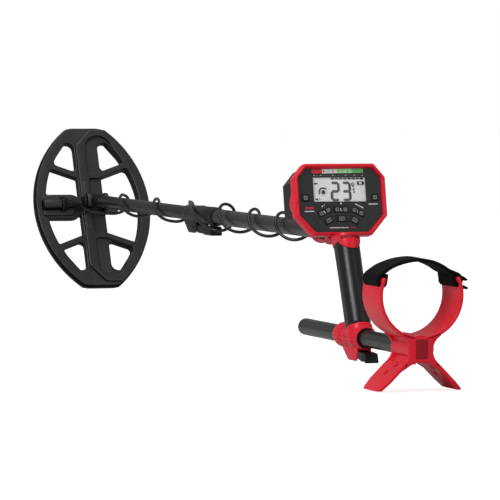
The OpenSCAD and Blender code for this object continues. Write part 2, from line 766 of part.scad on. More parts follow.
// key with a hollow top and a round rib across its back
module rocker(key) {
  w = key[3];
  h = key[4];
  at_pod() translate([key[0],key[1],0]) rotate(key[2]) difference() {
    union() {
      translate([-w/2,-h/2,key_z]) cube([w,h,key_h]);
      translate([0,0,key_z]) rotate([90,0,0]) cylinder(r=1, h=h-0.4, center=true);
    }
    translate([0,0,12.4]) rotate([90,0,0]) cylinder(r=11.4, h=20, center=true);
  }
}
module key_left() color(KEY_GREY) key(KEYS[0]);
module key_right() color(KEY_GREY) key(KEYS[1]);
module key_low_left() color(KEY_GREY) key(KEYS[2]);
module key_low_mid() color(KEY_GREY) key(KEYS[3]);
module key_low_right() color(KEY_GREY) key(KEYS[4]);
module rocker_left() color(KEY_GREY) rocker(ROCKERS[0]);
module rocker_mid() color(KEY_GREY) rocker(ROCKERS[1]);
module rocker_right() color(KEY_GREY) rocker(ROCKERS[2]);

// ---------- cable ----------
cable_r = 2.15;
cable_gap = 0.8;  // gap left where one length of cable meets the next
steps = 20;       // points in one turn round the shaft
CREST_X = [940,776,624,472,348,235];  // where the cable passes over the top of the shaft
// start of the front cable: x, angle from the top, radius
FRONT_START = [[985,180,15.4], [975,207,15.2], [966,236,14.9],
  [957,270,14.6], [949,312,14.6], [940,360,14.6]];
// the lead at the coil, in the coil frame
LEAD_COIL = [[0,46,entry_h], [0,24.3,entry_h], [-2.2,23.6,14.2],
  [-6,23.3,18.5], [-10.5,23.3,24], [-15,21.5,30]];
// the lead from the coil to the shaft
LEAD_SHAFT = [[1052,18.6,-12.5], [1041,17,-14], [1028,13.6,-15.2],
  [1014,8.6,-15.9], [1000,3.6,-15.8]];
// rear end of the rear cable
REAR_END = [[160,-19.5,4], [150,-21,8.5], [140,-22,12.2],
  [128,-22,14.8], [112,-22,16.6], [96.5,-22,20.55]];

function around_shaft(x, angle, r) = [x, r*sin(angle), r*cos(angle)];
function lerp(a, b, t) = a+(b-a)*t;
// the radius follows the shaft and gives way to the forward clamp
function wrap_r(x) =
  x>700 ? 14.6 : x>600 ? 16 : x>540 ? lerp(19, 16, (x-540)/60) : x>470 ? 19 : 17;
// share of the pitch covered at an angle; turn 2 runs ahead to pass the clamp lever
function advance(i, angle) =
  i!=2 ? angle/360 : angle<150 ? angle/150*0.835 : 0.835+(angle-150)/210*0.165;
// points of turn i after its first crest
function turn(i, last=steps) = [for (k=[1:last])
  let(angle=360*k/steps, x=lerp(CREST_X[i], CREST_X[i+1], advance(i, angle)))
  around_shaft(x, angle, wrap_r(x))];
function from_coil(p) = let(up=p[2]-pivot_h) [
  pivot_x+p[0]*cos(coil_angle)-up*sin(coil_angle),
  p[1],
  p[0]*sin(coil_angle)+up*cos(coil_angle)];
// the same path with its last point pulled back by the gap
function gapped(path) = let(n=len(path), end=path[n-1], inward=path[n-2]-end)
  [for (i=[0:n-1]) i<n-1 ? path[i] : end+cable_gap*inward/norm(inward)];

rear_path = concat([around_shaft(CREST_X[2], 0, 16)], turn(2), turn(3), turn(4),
  [for (k=[1:13]) around_shaft(CREST_X[5]-k*5.2, k*20.5, 17.4)], REAR_END);
front_path = concat([for (p=FRONT_START) around_shaft(p[0], p[1], p[2])],
  turn(0, steps-1), [around_shaft(CREST_X[1], 0, 14.8)], turn(1));
lead_path = concat([for (p=LEAD_COIL) from_coil(p)], LEAD_SHAFT, [front_path[0]]);

// cable swept along a path: rings of m corners joined by flat facets
module cable(path) {
  m = 8;
  n = len(path);
  function tangent(i) = let(run=path[min(i+1, n-1)]-path[max(i-1, 0)]) run/norm(run);
  // the previous normal, turned square to the path
  function carry(i, normal) =
    let(t=tangent(i), v=normal-(normal*t)*t) v/norm(v);
  normals = [for (i=0, u=carry(0, [0.13,0.31,0.94]); i<n; i=i+1, u=i<n ? carry(i, u) : u) u];
  points = [for (i=[0:n-1]) let(u=normals[i], v=cross(tangent(i), u))
    for (k=[0:m-1]) path[i]+cable_r*(cos(360*k/m)*u+sin(360*k/m)*v)];
  // a and b are neighbours on one ring
  edges = [for (i=[0:n-2], k=[0:m-1]) [i*m+k, i*m+(k+1)%m]];
  faces = concat([[for (k=[0:m-1]) k]],
    [for (e=edges) let(a=e[0], b=e[1]) [b+m,b,a]],
    [for (e=edges) let(a=e[0], b=e[1]) [a+m,b+m,a]],
    [[for (k=[m-1:-1:0]) (n-1)*m+k]]);
  polyhedron(points, faces, convexity=10);
}
module coil_cable_rear() color(CABLE_BLACK) cable(rear_path);
module coil_cable_front() color(CABLE_BLACK) cable(gapped(front_path));
module coil_lead() color(CABLE_BLACK) cable(gapped(lead_path));

coil_shell();
coil_skid();
winding_left();
winding_right();
cable_gland();
strain_relief();
pivot_bolt();
pivot_washers();
pivot_nut();
yoke();
lower_tube();
lower_bush();
mid_tube();
front_clamp_body();
front_clamp_pin();
front_clamp_lever();
front_clamp_shoe();
handle_frame();
grip_sleeve();
frame_screws();
rear_clamp_body();
rear_clamp_bush();
rear_clamp_pin();
rear_clamp_lever();
rear_clamp_shoe();
arm_tube();
arm_plug_front();
arm_plug_rear();
armrest();
armrest_screws();
arm_strap();
pod_bezel();
pod_rear();
pod_screws();
fascia();
lcd_window();
lcd_module();
keypad_sheet();
main_board();
speaker();
battery_tray();
battery_cells();
battery_door();
headphone_socket();
cable_socket();
cable_plug();
coil_cable_rear();
coil_cable_front();
coil_lead();
key_left();
key_right();
key_low_left();
key_low_mid();
key_low_right();
rocker_left();
rocker_mid();
rocker_right();
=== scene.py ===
"""Looks of a hand-held metal detector, built over its CAD pieces.

Row frame: x runs along the shaft from the armrest (-x, rear) to the coil (+x, front), y points
left, z up, and the shaft axis is y = z = 0. Sizes are in millimetres and become metres in mesh().
"""
import bpy
import bmesh
import json
import math
import random
import numpy as np
from mathutils import Vector, Matrix
from mathutils.geometry import tessellate_polygon

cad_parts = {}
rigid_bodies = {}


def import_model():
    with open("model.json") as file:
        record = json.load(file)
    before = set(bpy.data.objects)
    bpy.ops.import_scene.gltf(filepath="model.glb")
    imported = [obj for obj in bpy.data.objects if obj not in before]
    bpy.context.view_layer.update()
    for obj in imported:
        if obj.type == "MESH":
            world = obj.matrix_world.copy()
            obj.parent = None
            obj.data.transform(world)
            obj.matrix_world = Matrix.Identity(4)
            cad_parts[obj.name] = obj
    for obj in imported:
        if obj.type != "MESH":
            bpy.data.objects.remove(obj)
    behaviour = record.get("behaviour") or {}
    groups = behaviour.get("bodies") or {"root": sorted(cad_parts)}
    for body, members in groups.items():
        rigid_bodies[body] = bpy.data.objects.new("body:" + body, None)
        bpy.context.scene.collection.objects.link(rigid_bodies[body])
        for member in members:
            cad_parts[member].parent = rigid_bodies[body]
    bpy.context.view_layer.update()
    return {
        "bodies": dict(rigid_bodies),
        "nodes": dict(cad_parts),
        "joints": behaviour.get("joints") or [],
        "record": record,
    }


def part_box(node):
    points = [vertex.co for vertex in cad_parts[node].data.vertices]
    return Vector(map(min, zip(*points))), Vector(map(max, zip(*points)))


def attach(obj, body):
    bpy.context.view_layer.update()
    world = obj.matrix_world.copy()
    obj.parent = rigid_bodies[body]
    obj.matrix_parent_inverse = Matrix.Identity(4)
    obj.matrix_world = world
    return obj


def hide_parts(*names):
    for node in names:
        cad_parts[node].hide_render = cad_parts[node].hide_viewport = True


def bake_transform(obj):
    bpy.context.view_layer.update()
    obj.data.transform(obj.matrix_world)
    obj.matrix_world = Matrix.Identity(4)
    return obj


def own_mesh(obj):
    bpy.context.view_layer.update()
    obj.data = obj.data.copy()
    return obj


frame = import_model()
NODE = frame["nodes"]
MM = 0.001
random.seed(7)
rad = math.radians


# ---------------------------------------------------------------- frames
def axes(x_axis, y_axis, z_axis, origin=(0, 0, 0)):
    """the matrix whose columns are three axes and an origin"""
    matrix = Matrix.Identity(4)
    for column, vector in enumerate((x_axis, y_axis, z_axis, origin)):
        for row in range(3):
            matrix[row][column] = vector[row]
    return matrix


def along_x(z=0.0):
    """section (y, z) run along the row's x"""
    return axes((0, 1, 0), (0, 0, 1), (1, 0, 0), (0, 0, z))


def along_y(x, z):
    """section (z, x) run along y"""
    return axes((0, 0, 1), (1, 0, 0), (0, 1, 0), (x, 0, z))


PIVOT_X = 1070           # hinge of the coil, on the shaft axis
PIVOT_HEIGHT = 24        # hinge above the coil's own plane
ARM_Z = -126.0           # axis of the arm tube
CUFF_Z = ARM_Z + 64      # centre of the armrest's arc
POD_SIN, POD_COS = math.sin(rad(12)), math.cos(rad(12))
COIL_SIN, COIL_COS = math.sin(rad(66)), math.cos(rad(66))
HAND_SIN, HAND_COS = math.sin(rad(24)), math.cos(rad(24))
POD_UP = (POD_SIN, 0, POD_COS)
COIL_NORMAL = (-COIL_SIN, 0, COIL_COS)

ROW = Matrix.Identity(4)
# x right, y up, z out of the display towards the rear
POD = axes((0, -1, 0), POD_UP, (-POD_COS, 0, POD_SIN), (17, 0, 41))
# x towards the toe, y left, z out of the coil's upper face
COIL = axes((COIL_COS, 0, COIL_SIN), (0, 1, 0), COIL_NORMAL,
            (PIVOT_X + PIVOT_HEIGHT * COIL_SIN, 0, -PIVOT_HEIGHT * COIL_COS))
# z up the leaning grip
HAND = axes((HAND_COS, 0, -HAND_SIN), (0, 1, 0), (HAND_SIN, 0, HAND_COS))
ALONG = along_x()
SIDE = axes((1, 0, 0), (0, 0, 1), (0, -1, 0))    # section (x, z) run along -y


# ---------------------------------------------------------------- materials
def add_node(tree, kind, inputs=None, **settings):
    node = tree.nodes.new("ShaderNode" + kind)
    for setting, value in settings.items():
        setattr(node, setting, value)
    for socket, value in (inputs or {}).items():
        node.inputs[socket].default_value = value
    return node


def new_material(name):
    """an empty material; returns it, its node tree and the surface input of its output"""
    mat = bpy.data.materials.new(name)
    mat.use_nodes = True
    tree = mat.node_tree
    tree.nodes.clear()
    return mat, tree, add_node(tree, "OutputMaterial").inputs[0]


def noise_socket(tree, coords, scale, detail=2.0):
    node = add_node(tree, "TexNoise", {"Scale": scale, "Detail": detail})
    tree.links.new(coords, node.inputs["Vector"])
    return node.outputs["Fac"]


def scaled(color, factor, lift=0.0):
    return (*[min(1, c * factor + lift) for c in color], 1)


def material(name, color, rough, metal=0.0, spec=0.26, coat=0.0, noise=0.0, rvar=0.0,
             bump=0.0, bscale=1500.0, bevel=0.0, edge_glint=0.0):
    """noise and rvar vary colour and roughness in blotches, bump and bscale give the grain,
    bevel is the radius in metres of the shaded edges, and the edge factor paints a highlight on
    the convex edges"""
    mat, tree, surface = new_material(name)
    link = tree.links.new
    shader = add_node(tree, "BsdfPrincipled", {
        "Base Color": (*color, 1), "Roughness": rough, "Metallic": metal,
        "Specular IOR Level": spec, "Coat Weight": coat, "Coat Roughness": 0.12})
    link(shader.outputs[0], surface)
    if noise or rvar or bump:
        coords = add_node(tree, "TexCoord").outputs["Object"]
    if noise or rvar:
        blotches = noise_socket(tree, coords, scale=35.0, detail=4.0)
    if rvar:
        spread = add_node(tree, "MapRange", {"To Min": max(0.02, rough - rvar),
                                             "To Max": min(1.0, rough + rvar)})
        link(blotches, spread.inputs["Value"])
        link(spread.outputs[0], shader.inputs["Roughness"])
    tint = None
    if noise:
        mix = add_node(tree, "MixRGB", {1: scaled(color, 1 - noise), 2: scaled(color, 1 + noise)})
        link(blotches, mix.inputs[0])
        tint = mix.outputs[0]
    # painted highlight: the convex edges are lightened through pointiness
    if edge_glint:
        geometry = add_node(tree, "NewGeometry")
        ramp = add_node(tree, "ValToRGB")
        ramp.color_ramp.elements[0].position = 0.52
        ramp.color_ramp.elements[1].position = 0.62
        link(geometry.outputs["Pointiness"], ramp.inputs[0])
        mix = add_node(tree, "MixRGB", {1: (*color, 1), 2: scaled(color, 1 + edge_glint, 0.02 * edge_glint)})
        link(ramp.outputs[0], mix.inputs[0])
        if tint is not None:
            link(tint, mix.inputs[1])
        tint = mix.outputs[0]
    if tint is not None:
        link(tint, shader.inputs["Base Color"])
    normal = None
    if bevel:
        edge = add_node(tree, "Bevel", {"Radius": bevel}, samples=4)
        normal = edge.outputs[0]
    if bump:
        grain = add_node(tree, "Bump", {"Strength": bump, "Distance": 0.0002})
        link(noise_socket(tree, coords, scale=bscale, detail=3.0), grain.inputs["Height"])
        if normal is not None:
            link(normal, grain.inputs["Normal"])
        normal = grain.outputs[0]
    if normal is not None:
        link(normal, shader.inputs["Normal"])
    return mat


def paint_wall_shade(mat, axis, low):
    """painted shade: faces that look away from the axis get `low` of the colour and specular"""
    tree = mat.node_tree
    link = tree.links.new
    shader = tree.nodes["Principled BSDF"]
    base = shader.inputs["Base Color"]
    specular = shader.inputs["Specular IOR Level"]
    tint = base.links[0].from_socket
    coords = add_node(tree, "TexCoord")
    facing = add_node(tree, "VectorMath", {1: axis}, operation="DOT_PRODUCT")
    link(coords.outputs["Normal"], facing.inputs[0])
    level = add_node(tree, "MapRange",
                     {"From Min": 0.35, "From Max": 0.85, "To Min": low, "To Max": 1.0})
    link(facing.outputs["Value"], level.inputs["Value"])
    shade = add_node(tree, "MixRGB", {0: 1.0}, blend_type="MULTIPLY")
    link(tint, shade.inputs[1])
    link(level.outputs[0], shade.inputs[2])
    link(shade.outputs[0], base)
    dim = add_node(tree, "Math", {1: specular.default_value}, operation="MULTIPLY")
    link(level.outputs[0], dim.inputs[0])
    link(dim.outputs[0], specular)


def lens_material():
    """clear sheet with a faint, slightly uneven reflection"""
    mat, tree, surface = new_material("lens")
    link = tree.links.new
    mix = add_node(tree, "MixShader")
    clear = add_node(tree, "BsdfTransparent")
    gloss = add_node(tree, "BsdfGlossy", {"Roughness": 0.08})
    coords = add_node(tree, "TexCoord")
    amount = add_node(tree, "MapRange", {"To Min": 0.03, "To Max": 0.05})
    link(noise_socket(tree, coords.outputs["Object"], scale=60), amount.inputs["Value"])
    link(amount.outputs[0], mix.inputs[0])
    link(clear.outputs[0], mix.inputs[1])
    link(gloss.outputs[0], mix.inputs[2])
    link(mix.outputs[0], surface)
    return mat


def webbing_material():
    """two crossed sets of bands make the weave; its lighter rib tops and darker hollows are
    painted highlight and shade
    """
    mat = material("webbing", color=(0.006, 0.006, 0.006), rough=0.8, spec=0.15)
    tree = mat.node_tree
    link = tree.links.new
    shader = tree.nodes["Principled BSDF"]
    coords = add_node(tree, "TexCoord")
    mapping = add_node(tree, "Mapping")
    link(coords.outputs["UV"], mapping.inputs["Vector"])
    weave = add_node(tree, "Math", operation="MULTIPLY")
    for i, (direction, scale) in enumerate((("X", 5.0), ("Y", 4.8))):
        wave = add_node(tree, "TexWave", {"Scale": scale, "Distortion": 0.6},
                        bands_direction=direction)
        link(mapping.outputs[0], wave.inputs["Vector"])
        link(wave.outputs["Fac"], weave.inputs[i])
    relief = add_node(tree, "Bump", {"Strength": 0.8, "Distance": 0.0009})
    link(weave.outputs[0], relief.inputs["Height"])
    link(relief.outputs[0], shader.inputs["Normal"])
    # painted highlight and shade: rib tops lighter than the hollows, over the real relief
    mix = add_node(tree, "MixRGB", {1: (0.001, 0.001, 0.001, 1), 2: (0.034, 0.034, 0.036, 1)})
    link(weave.outputs[0], mix.inputs[0])
    link(mix.outputs[0], shader.inputs["Base Color"])
    return mat


# the coil's convex edges get a painted highlight and its side walls painted shade
coil_black = material("coil_black", color=(0.022, 0.0225, 0.0235), rough=0.36, bump=0.35,
                      bscale=2600, bevel=0.0009, noise=0.12, rvar=0.08, spec=0.5, edge_glint=2.2)
# painted shade on the coil's side walls
paint_wall_shade(coil_black, axis=COIL_NORMAL, low=0.12)
skid_black = material("skid_black", color=(0.006, 0.006, 0.0065), rough=0.45, spec=0.4,
                      bump=0.2, bscale=2200, bevel=0.0007, rvar=0.08)
hard_black = material("hard_black", color=(0.0065, 0.0065, 0.007), rough=0.38, bump=0.2,
                      bscale=2400, bevel=0.0005, rvar=0.1)
soft_black = material("soft_black", color=(0.005, 0.005, 0.005), rough=0.30, spec=0.5,
                      bump=0.12, bscale=3000, bevel=0.0003, rvar=0.06)
tube_black = material("tube_black", color=(0.009, 0.0095, 0.010), rough=0.30, spec=0.4,
                      bump=0.12, bscale=3500, noise=0.1, rvar=0.05)
arm_black = material("arm_black", color=(0.010, 0.0125, 0.0125), rough=0.26, spec=0.4,
                     bump=0.06, bscale=3500, noise=0.08, rvar=0.05)
red = material("red", color=(0.80, 0.010, 0.030), rough=0.36, bump=0.10, bscale=2600,
               bevel=0.0008, noise=0.05, rvar=0.05, coat=0.05)
# darker copy of the red, used as painted shade
red_painted_shade = material("red_painted_shade", color=(0.34, 0.004, 0.012), rough=0.4, bump=0.10, bscale=2600,
                    bevel=0.0006, noise=0.05, rvar=0.05)
grip_black = material("grip_black", color=(0.008, 0.0083, 0.0088), rough=0.30, spec=0.4,
                      bump=0.25, bscale=4200, rvar=0.07, noise=0.15)
steel = material("steel", color=(0.6, 0.6, 0.62), rough=0.28, metal=1.0, bump=0.1, bscale=3000,
                 bevel=0.0002, rvar=0.08)
copper = material("copper", color=(0.72, 0.33, 0.12), rough=0.3, metal=1.0, bump=0.2,
                  bscale=3000)
bush_white = material("bush_white", color=(0.75, 0.75, 0.72), rough=0.45, bump=0.05,
                      bevel=0.0003)
fascia_black = material("fascia_m", color=(0.018, 0.0205, 0.0205), rough=0.33, bump=0.06,
                        bscale=3500, noise=0.08, rvar=0.04)
key_black = material("key_m", color=(0.014, 0.0145, 0.015), rough=0.38, bump=0.12, bscale=3500,
                     rvar=0.05)
icon_grey = material("icon_m", color=(0.36, 0.37, 0.37), rough=0.5)
lcd_grey = material("lcd_m", color=(0.86, 0.88, 0.86), rough=0.5, bump=0.05, bscale=4000,
                    noise=0.02)
segment_black = material("seg_m", color=(0.006, 0.006, 0.006), rough=0.5)
ghost_grey = material("ghost_m", color=(0.70, 0.72, 0.70), rough=0.5)
print_red = material("pr_red", color=(0.62, 0.02, 0.045), rough=0.4)
print_white = material("pr_white", color=(0.72, 0.72, 0.72), rough=0.4)
print_green = material("pr_green", color=(0.34, 0.78, 0.34), rough=0.4)
print_deep_green = material("pr_green2", color=(0.10, 0.46, 0.11), rough=0.4)
board_green = material("board_m", color=(0.01, 0.12, 0.04), rough=0.3, bump=0.2, bscale=1500)
cell_orange = material("cell_m", color=(0.55, 0.30, 0.04), rough=0.3, noise=0.1)
# black for painted shade in holes and slots
hole_shade_black = material("dark_m", color=(0.004, 0.004, 0.004), rough=0.7)
lens_clear = lens_material()
webbing = webbing_material()

# CAD nodes keep their shape and take these materials
LOOKS = (
    (coil_black, "coil_shell"),
    (skid_black, "coil_skid"),
    (copper, "winding_left winding_right"),
    (hard_black, "cable_gland pivot_bolt pivot_nut yoke front_clamp_body front_clamp_lever "
                 "rear_clamp_bush rear_clamp_lever arm_plug_front arm_plug_rear pod_rear speaker "
                 "battery_tray battery_door headphone_socket cable_socket cable_plug"),
    (soft_black, "strain_relief pivot_washers front_clamp_shoe rear_clamp_shoe keypad_sheet "
                 "coil_cable_rear coil_cable_front coil_lead"),
    (tube_black, "lower_tube mid_tube"),
    (bush_white, "lower_bush"),
    (steel, "front_clamp_pin frame_screws rear_clamp_pin armrest_screws pod_screws"),
    (red, "handle_frame rear_clamp_body armrest pod_bezel"),
    (grip_black, "grip_sleeve"),
    (arm_black, "arm_tube"),
    (webbing, "arm_strap"),
    (fascia_black, "fascia"),
    (lens_clear, "lcd_window"),
    (lcd_grey, "lcd_module"),
    (board_green, "main_board"),
    (cell_orange, "battery_cells"),
    (key_black, "key_left key_right key_low_left key_low_mid key_low_right "
                "rocker_left rocker_mid rocker_right"),
)
for look, node_names in LOOKS:
    for node_name in node_names.split():
        slots = NODE[node_name].data.materials
        slots.clear()
        slots.append(look)


# ---------------------------------------------------------------- outlines
def area(points):
    return 0.5 * sum(points[i][0] * points[(i + 1) % len(points)][1]
                     - points[(i + 1) % len(points)][0] * points[i][1]
                     for i in range(len(points)))


def ccw(points, want=True):
    """anticlockwise order, or clockwise where want is False"""
    return list(points) if (area(points) > 0) == want else list(reversed(points))


def mirror_x(points):
    return [(-x, y) for x, y in points]


def angle_between(u, v):
    return math.acos(max(-1, min(1, u.dot(v))))


def inset(points, depth):
    """moves every corner to the left of its direction of travel (mitred)"""
    moved = []
    for i, (x, y) in enumerate(points):
        before, after = points[i - 1], points[(i + 1) % len(points)]
        u = Vector((x - before[0], y - before[1])).normalized()
        v = Vector((after[0] - x, after[1] - y)).normalized()
        normal = Vector((-u.y, u.x))
        mitre = normal + Vector((-v.y, v.x))
        if mitre.length < 1e-6:
            mitre = normal
        mitre = mitre.normalized()
        stretch = max(0.35, mitre.dot(normal))
        moved.append((x + mitre.x * depth / stretch, y + mitre.y * depth / stretch))
    return moved


def fillet(points, radius, count=5):
    """rounds the corners; radius is one value or a list, one for each corner"""
    rounded = []
    for i, point in enumerate(points):
        corner = Vector(point)
        u = Vector(points[i - 1]) - corner
        v = Vector(points[(i + 1) % len(points)]) - corner
        wanted = radius[i] if isinstance(radius, (list, tuple)) else radius
        u_length, v_length = u.length, v.length
        if u_length < 1e-6 or v_length < 1e-6 or wanted <= 0:
            rounded.append(tuple(corner))
            continue
        u, v = u / u_length, v / v_length
        opening = angle_between(u, v)
        if opening > rad(172):
            rounded.append(tuple(corner))
            continue
        reach = min(wanted / math.tan(opening / 2), u_length * 0.48, v_length * 0.48)
        r = reach * math.tan(opening / 2)
        centre = corner + (u + v).normalized() * (r / math.sin(opening / 2))
        start, end = corner + u * reach - centre, corner + v * reach - centre
        a0 = math.atan2(start.y, start.x)
        sweep = (math.atan2(end.y, end.x) - a0 + math.pi) % math.tau - math.pi
        for k in range(count + 1):
            a = a0 + sweep * k / count
            rounded.append((centre.x + r * math.cos(a), centre.y + r * math.sin(a)))
    return rounded


def round_box(x0, x1, y0, y1, radius):
    return fillet([(x0, y0), (x1, y0), (x1, y1), (x0, y1)], radius)


def arc(cx, cy, r, a0, a1, count):
    """count + 1 points from angle a0 to a1, in degrees"""
    angles = [rad(a0 + (a1 - a0) * k / count) for k in range(count + 1)]
    return [(cx + r * math.cos(a), cy + r * math.sin(a)) for a in angles]


def clip(points, a, b, c):
    """keeps the part of a polygon where a*x + b*y <= c"""
    kept = []
    for i, p in enumerate(points):
        q = points[(i + 1) % len(points)]
        dp, dq = a * p[0] + b * p[1] - c, a * q[0] + b * q[1] - c
        if dp <= 0:
            kept.append(p)
        if (dp < 0 < dq) or (dq < 0 < dp):
            t = dp / (dp - dq)
            kept.append((p[0] + (q[0] - p[0]) * t, p[1] + (q[1] - p[1]) * t))
    return kept


def gap(p, q):
    return math.hypot(p[0] - q[0], p[1] - q[1])


def dedupe(points, tolerance=0.4):
    kept = []
    for point in points:
        if not kept or gap(point, kept[-1]) > tolerance:
            kept.append(point)
    while len(kept) > 2 and gap(kept[0], kept[-1]) < tolerance:
        kept.pop()
    return kept


def round_sharp(points, radius, limit=24, count=5):
    """rounds only the corners that turn by more than limit degrees"""
    total = len(points)
    radii = []
    for i in range(total):
        before, corner, after = (Vector(points[k % total]) for k in (i - 1, i, i + 1))
        turn = angle_between((corner - before).normalized(), (after - corner).normalized())
        radii.append(radius if math.degrees(turn) > limit else 0)
    keep = [True] * total
    for i in range(total):
        if not radii[i]:
            continue
        for step in (1, -1):       # clear room for the rounding on both sides
            j = (i + step) % total
            while not radii[j] and gap(points[j], points[i]) < radius * 1.6:
                keep[j] = False
                j = (j + step) % total
    chosen = [i for i in range(total) if keep[i]]
    rounded = fillet([points[i] for i in chosen], [radii[i] for i in chosen], count)
    return dedupe(rounded, 0.12)


def smooth_path(points, steps):
    """Catmull-Rom through the points"""
    P = [Vector(p) for p in points]
    path = []
    for i in range(len(P) - 1):
        p0, p1, p2, p3 = P[max(i - 1, 0)], P[i], P[i + 1], P[min(i + 2, len(P) - 1)]
        for k in range(steps):
            t = k / steps
            path.append(0.5 * ((2 * p1) + (p2 - p0) * t
                               + (2 * p0 - 5 * p1 + 4 * p2 - p3) * t * t
                               + (3 * p1 - p0 - 3 * p2 + p3) * t ** 3))
    path.append(P[-1])
    return [tuple(v) for v in path]


# ---------------------------------------------------------------- meshes
def show(name, data, angle=32):
    obj = bpy.data.objects.new(name, data)
    bpy.context.scene.collection.objects.link(obj)
    data.shade_smooth()
    data.set_sharp_from_angle(angle=rad(angle))
    return obj


def mesh(verts, faces, mat, frame=ROW, name="part", angle=32):
    data = bpy.data.meshes.new(name)
    data.from_pydata([tuple((frame @ Vector(v)) * MM) for v in verts], [], faces)
    data.validate(clean_customdata=False)
    data.update()
    data.materials.append(mat)
    return show(name, data, angle)


def prism(outer, z0, z1, bevel, mat, frame=ROW, holes=(), segs=3, bevel0=None, warp=None,
          name="part"):
    """a plate from z0 to z1; bevel rounds the edge at z1 and bevel0, where given, that at z0"""
    bevel0 = bevel if bevel0 is None else bevel0
    quarter = [math.pi / 2 * k / segs for k in range(segs + 1)]
    profile = [(bevel0 * (1 - math.sin(a)), z0 + bevel0 * (1 - math.cos(a))) for a in quarter]
    profile += [(bevel * (1 - math.cos(a)), z1 - bevel * (1 - math.sin(a))) for a in quarter]
    verts, faces, bottom, top = [], [], [], []
    for loop in [ccw(outer)] + [ccw(hole, False) for hole in holes]:
        n = len(loop)
        base = len(verts)
        for depth, z in profile:
            verts += [(x, y, z) for x, y in (inset(loop, depth) if depth > 1e-9 else loop)]
        bottom.append(range(base, base + n))
        top.append(range(len(verts) - n, len(verts)))
        for j in range(len(profile) - 1):
            for i in range(n):
                a, b = base + j * n + i, base + j * n + (i + 1) % n
                faces.append((a, b, b + n, a + n))
    for rings, up in ((bottom, False), (top, True)):
        flat_index = [i for ring in rings for i in ring]
        for triangle in tessellate_polygon(
                [[Vector((verts[i][0], verts[i][1], 0)) for i in ring] for ring in rings]):
            face = [flat_index[i] for i in triangle]
            p, q, r = (verts[i] for i in face)
            cross = (q[0] - p[0]) * (r[1] - p[1]) - (r[0] - p[0]) * (q[1] - p[1])
            if (cross > 0) != up:
                face.reverse()
            faces.append(tuple(face))
    if warp:
        verts = [warp(v) for v in verts]
    return mesh(verts, faces, mat, frame, name)


def loft(rings, mat, frame=ROW, caps=True, name="part", angle=32):
    n = len(rings[0])
    verts = [v for ring in rings for v in ring]
    faces = []
    for j in range(len(rings) - 1):
        for i in range(n):
            a, b = j * n + i, j * n + (i + 1) % n
            faces.append((a, b, b + n, a + n))
    if caps:
        faces.append(tuple(reversed(range(n))))
        faces.append(tuple((len(rings) - 1) * n + i for i in range(n)))
    return mesh(verts, faces, mat, frame, name, angle)


def fluted(profile, depth, flutes, power, count, mat, frame):
    """a turned shape with hollows; profile rows are radius, place along, share of the depth"""
    rings = []
    for radius, z, share in profile:
        ring = []
        for k in range(count):
            a = math.tau * k / count
            r = radius - depth * share * max(0, math.cos(flutes * a)) ** power
            ring.append((r * math.cos(a), r * math.sin(a), z))
        rings.append(ring)
    return loft(rings, mat, frame, caps=False)


def lathe(profile, mat, frame, count, caps=False, name="part", angle=32):
    """profile rows (radius, place along) turned round the local z axis"""
    turns = [math.tau * k / count for k in range(count)]
    rings = [[(r * math.cos(a), r * math.sin(a), z) for a in turns] for r, z in profile]
    return loft(rings, mat, frame, caps, name, angle)


def xlathe(profile, mat, z=0.0, name="part"):
    """profile rows (radius, x) turned round an axis along x"""
    return lathe(profile, mat, along_x(z), 56, name=name)


def stadium(width, depth, count):
    """width across y, depth along x, half round at both ends"""
    r = width / 2
    k = (depth - width) / 2
    front = np.linspace(-math.pi / 2, math.pi / 2, count)
    rear = np.linspace(math.pi / 2, 3 * math.pi / 2, count)
    return ([(k + r * math.cos(a), r * math.sin(a)) for a in front]
            + [(-k + r * math.cos(a), r * math.sin(a)) for a in rear])


def stadium_loft(rows, mat, count, name="part", angle=32):
    """rows of z, width, depth and shift along x, in the hand frame"""
    rings = [[(x + shift, y, z) for x, y in stadium(width, depth, count)]
             for z, width, depth, shift in rows]
    return loft(rings, mat, HAND, name=name, angle=angle)


def join(name, parts):
    """one object from several, with all their materials"""
    verts, faces, face_materials, mats = [], [], [], []
    for part in parts:
        data = part.data
        offset = len(verts)
        verts += [tuple(v.co) for v in data.vertices]
        for mat in data.materials:
            if mat not in mats:
                mats.append(mat)
        for polygon in data.polygons:
            faces.append(tuple(offset + i for i in polygon.vertices))
            face_materials.append(mats.index(data.materials[polygon.material_index]))
    joined = bpy.data.meshes.new(name)
    joined.from_pydata(verts, [], faces)
    for mat in mats:
        joined.materials.append(mat)
    for polygon, index in zip(joined.polygons, face_materials):
        polygon.material_index = index
    for part in parts:
        bpy.data.objects.remove(part, do_unlink=True)
    joined.update()
    return show(name, joined)


def cut(obj, point, normal):
    """removes what lies on the side the normal points to; in metres, in the row frame"""
    bm = bmesh.new()
    bm.from_mesh(obj.data)
    result = bmesh.ops.bisect_plane(bm, geom=bm.verts[:] + bm.edges[:] + bm.faces[:], dist=1e-7,
                                    plane_co=point, plane_no=normal, clear_outer=True)
    rim = [g for g in result["geom_cut"] if isinstance(g, bmesh.types.BMEdge)]
    bmesh.ops.holes_fill(bm, edges=rim, sides=0)
    bm.normal_update()
    bm.to_mesh(obj.data)
    bm.free()
    return obj


def place(obj, body, slot, *nodes):
    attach(obj, body)
    if nodes:
        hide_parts(*nodes)


def assemble(name, parts, body, slot, *nodes):
    place(join(name, parts), body, slot, *nodes)


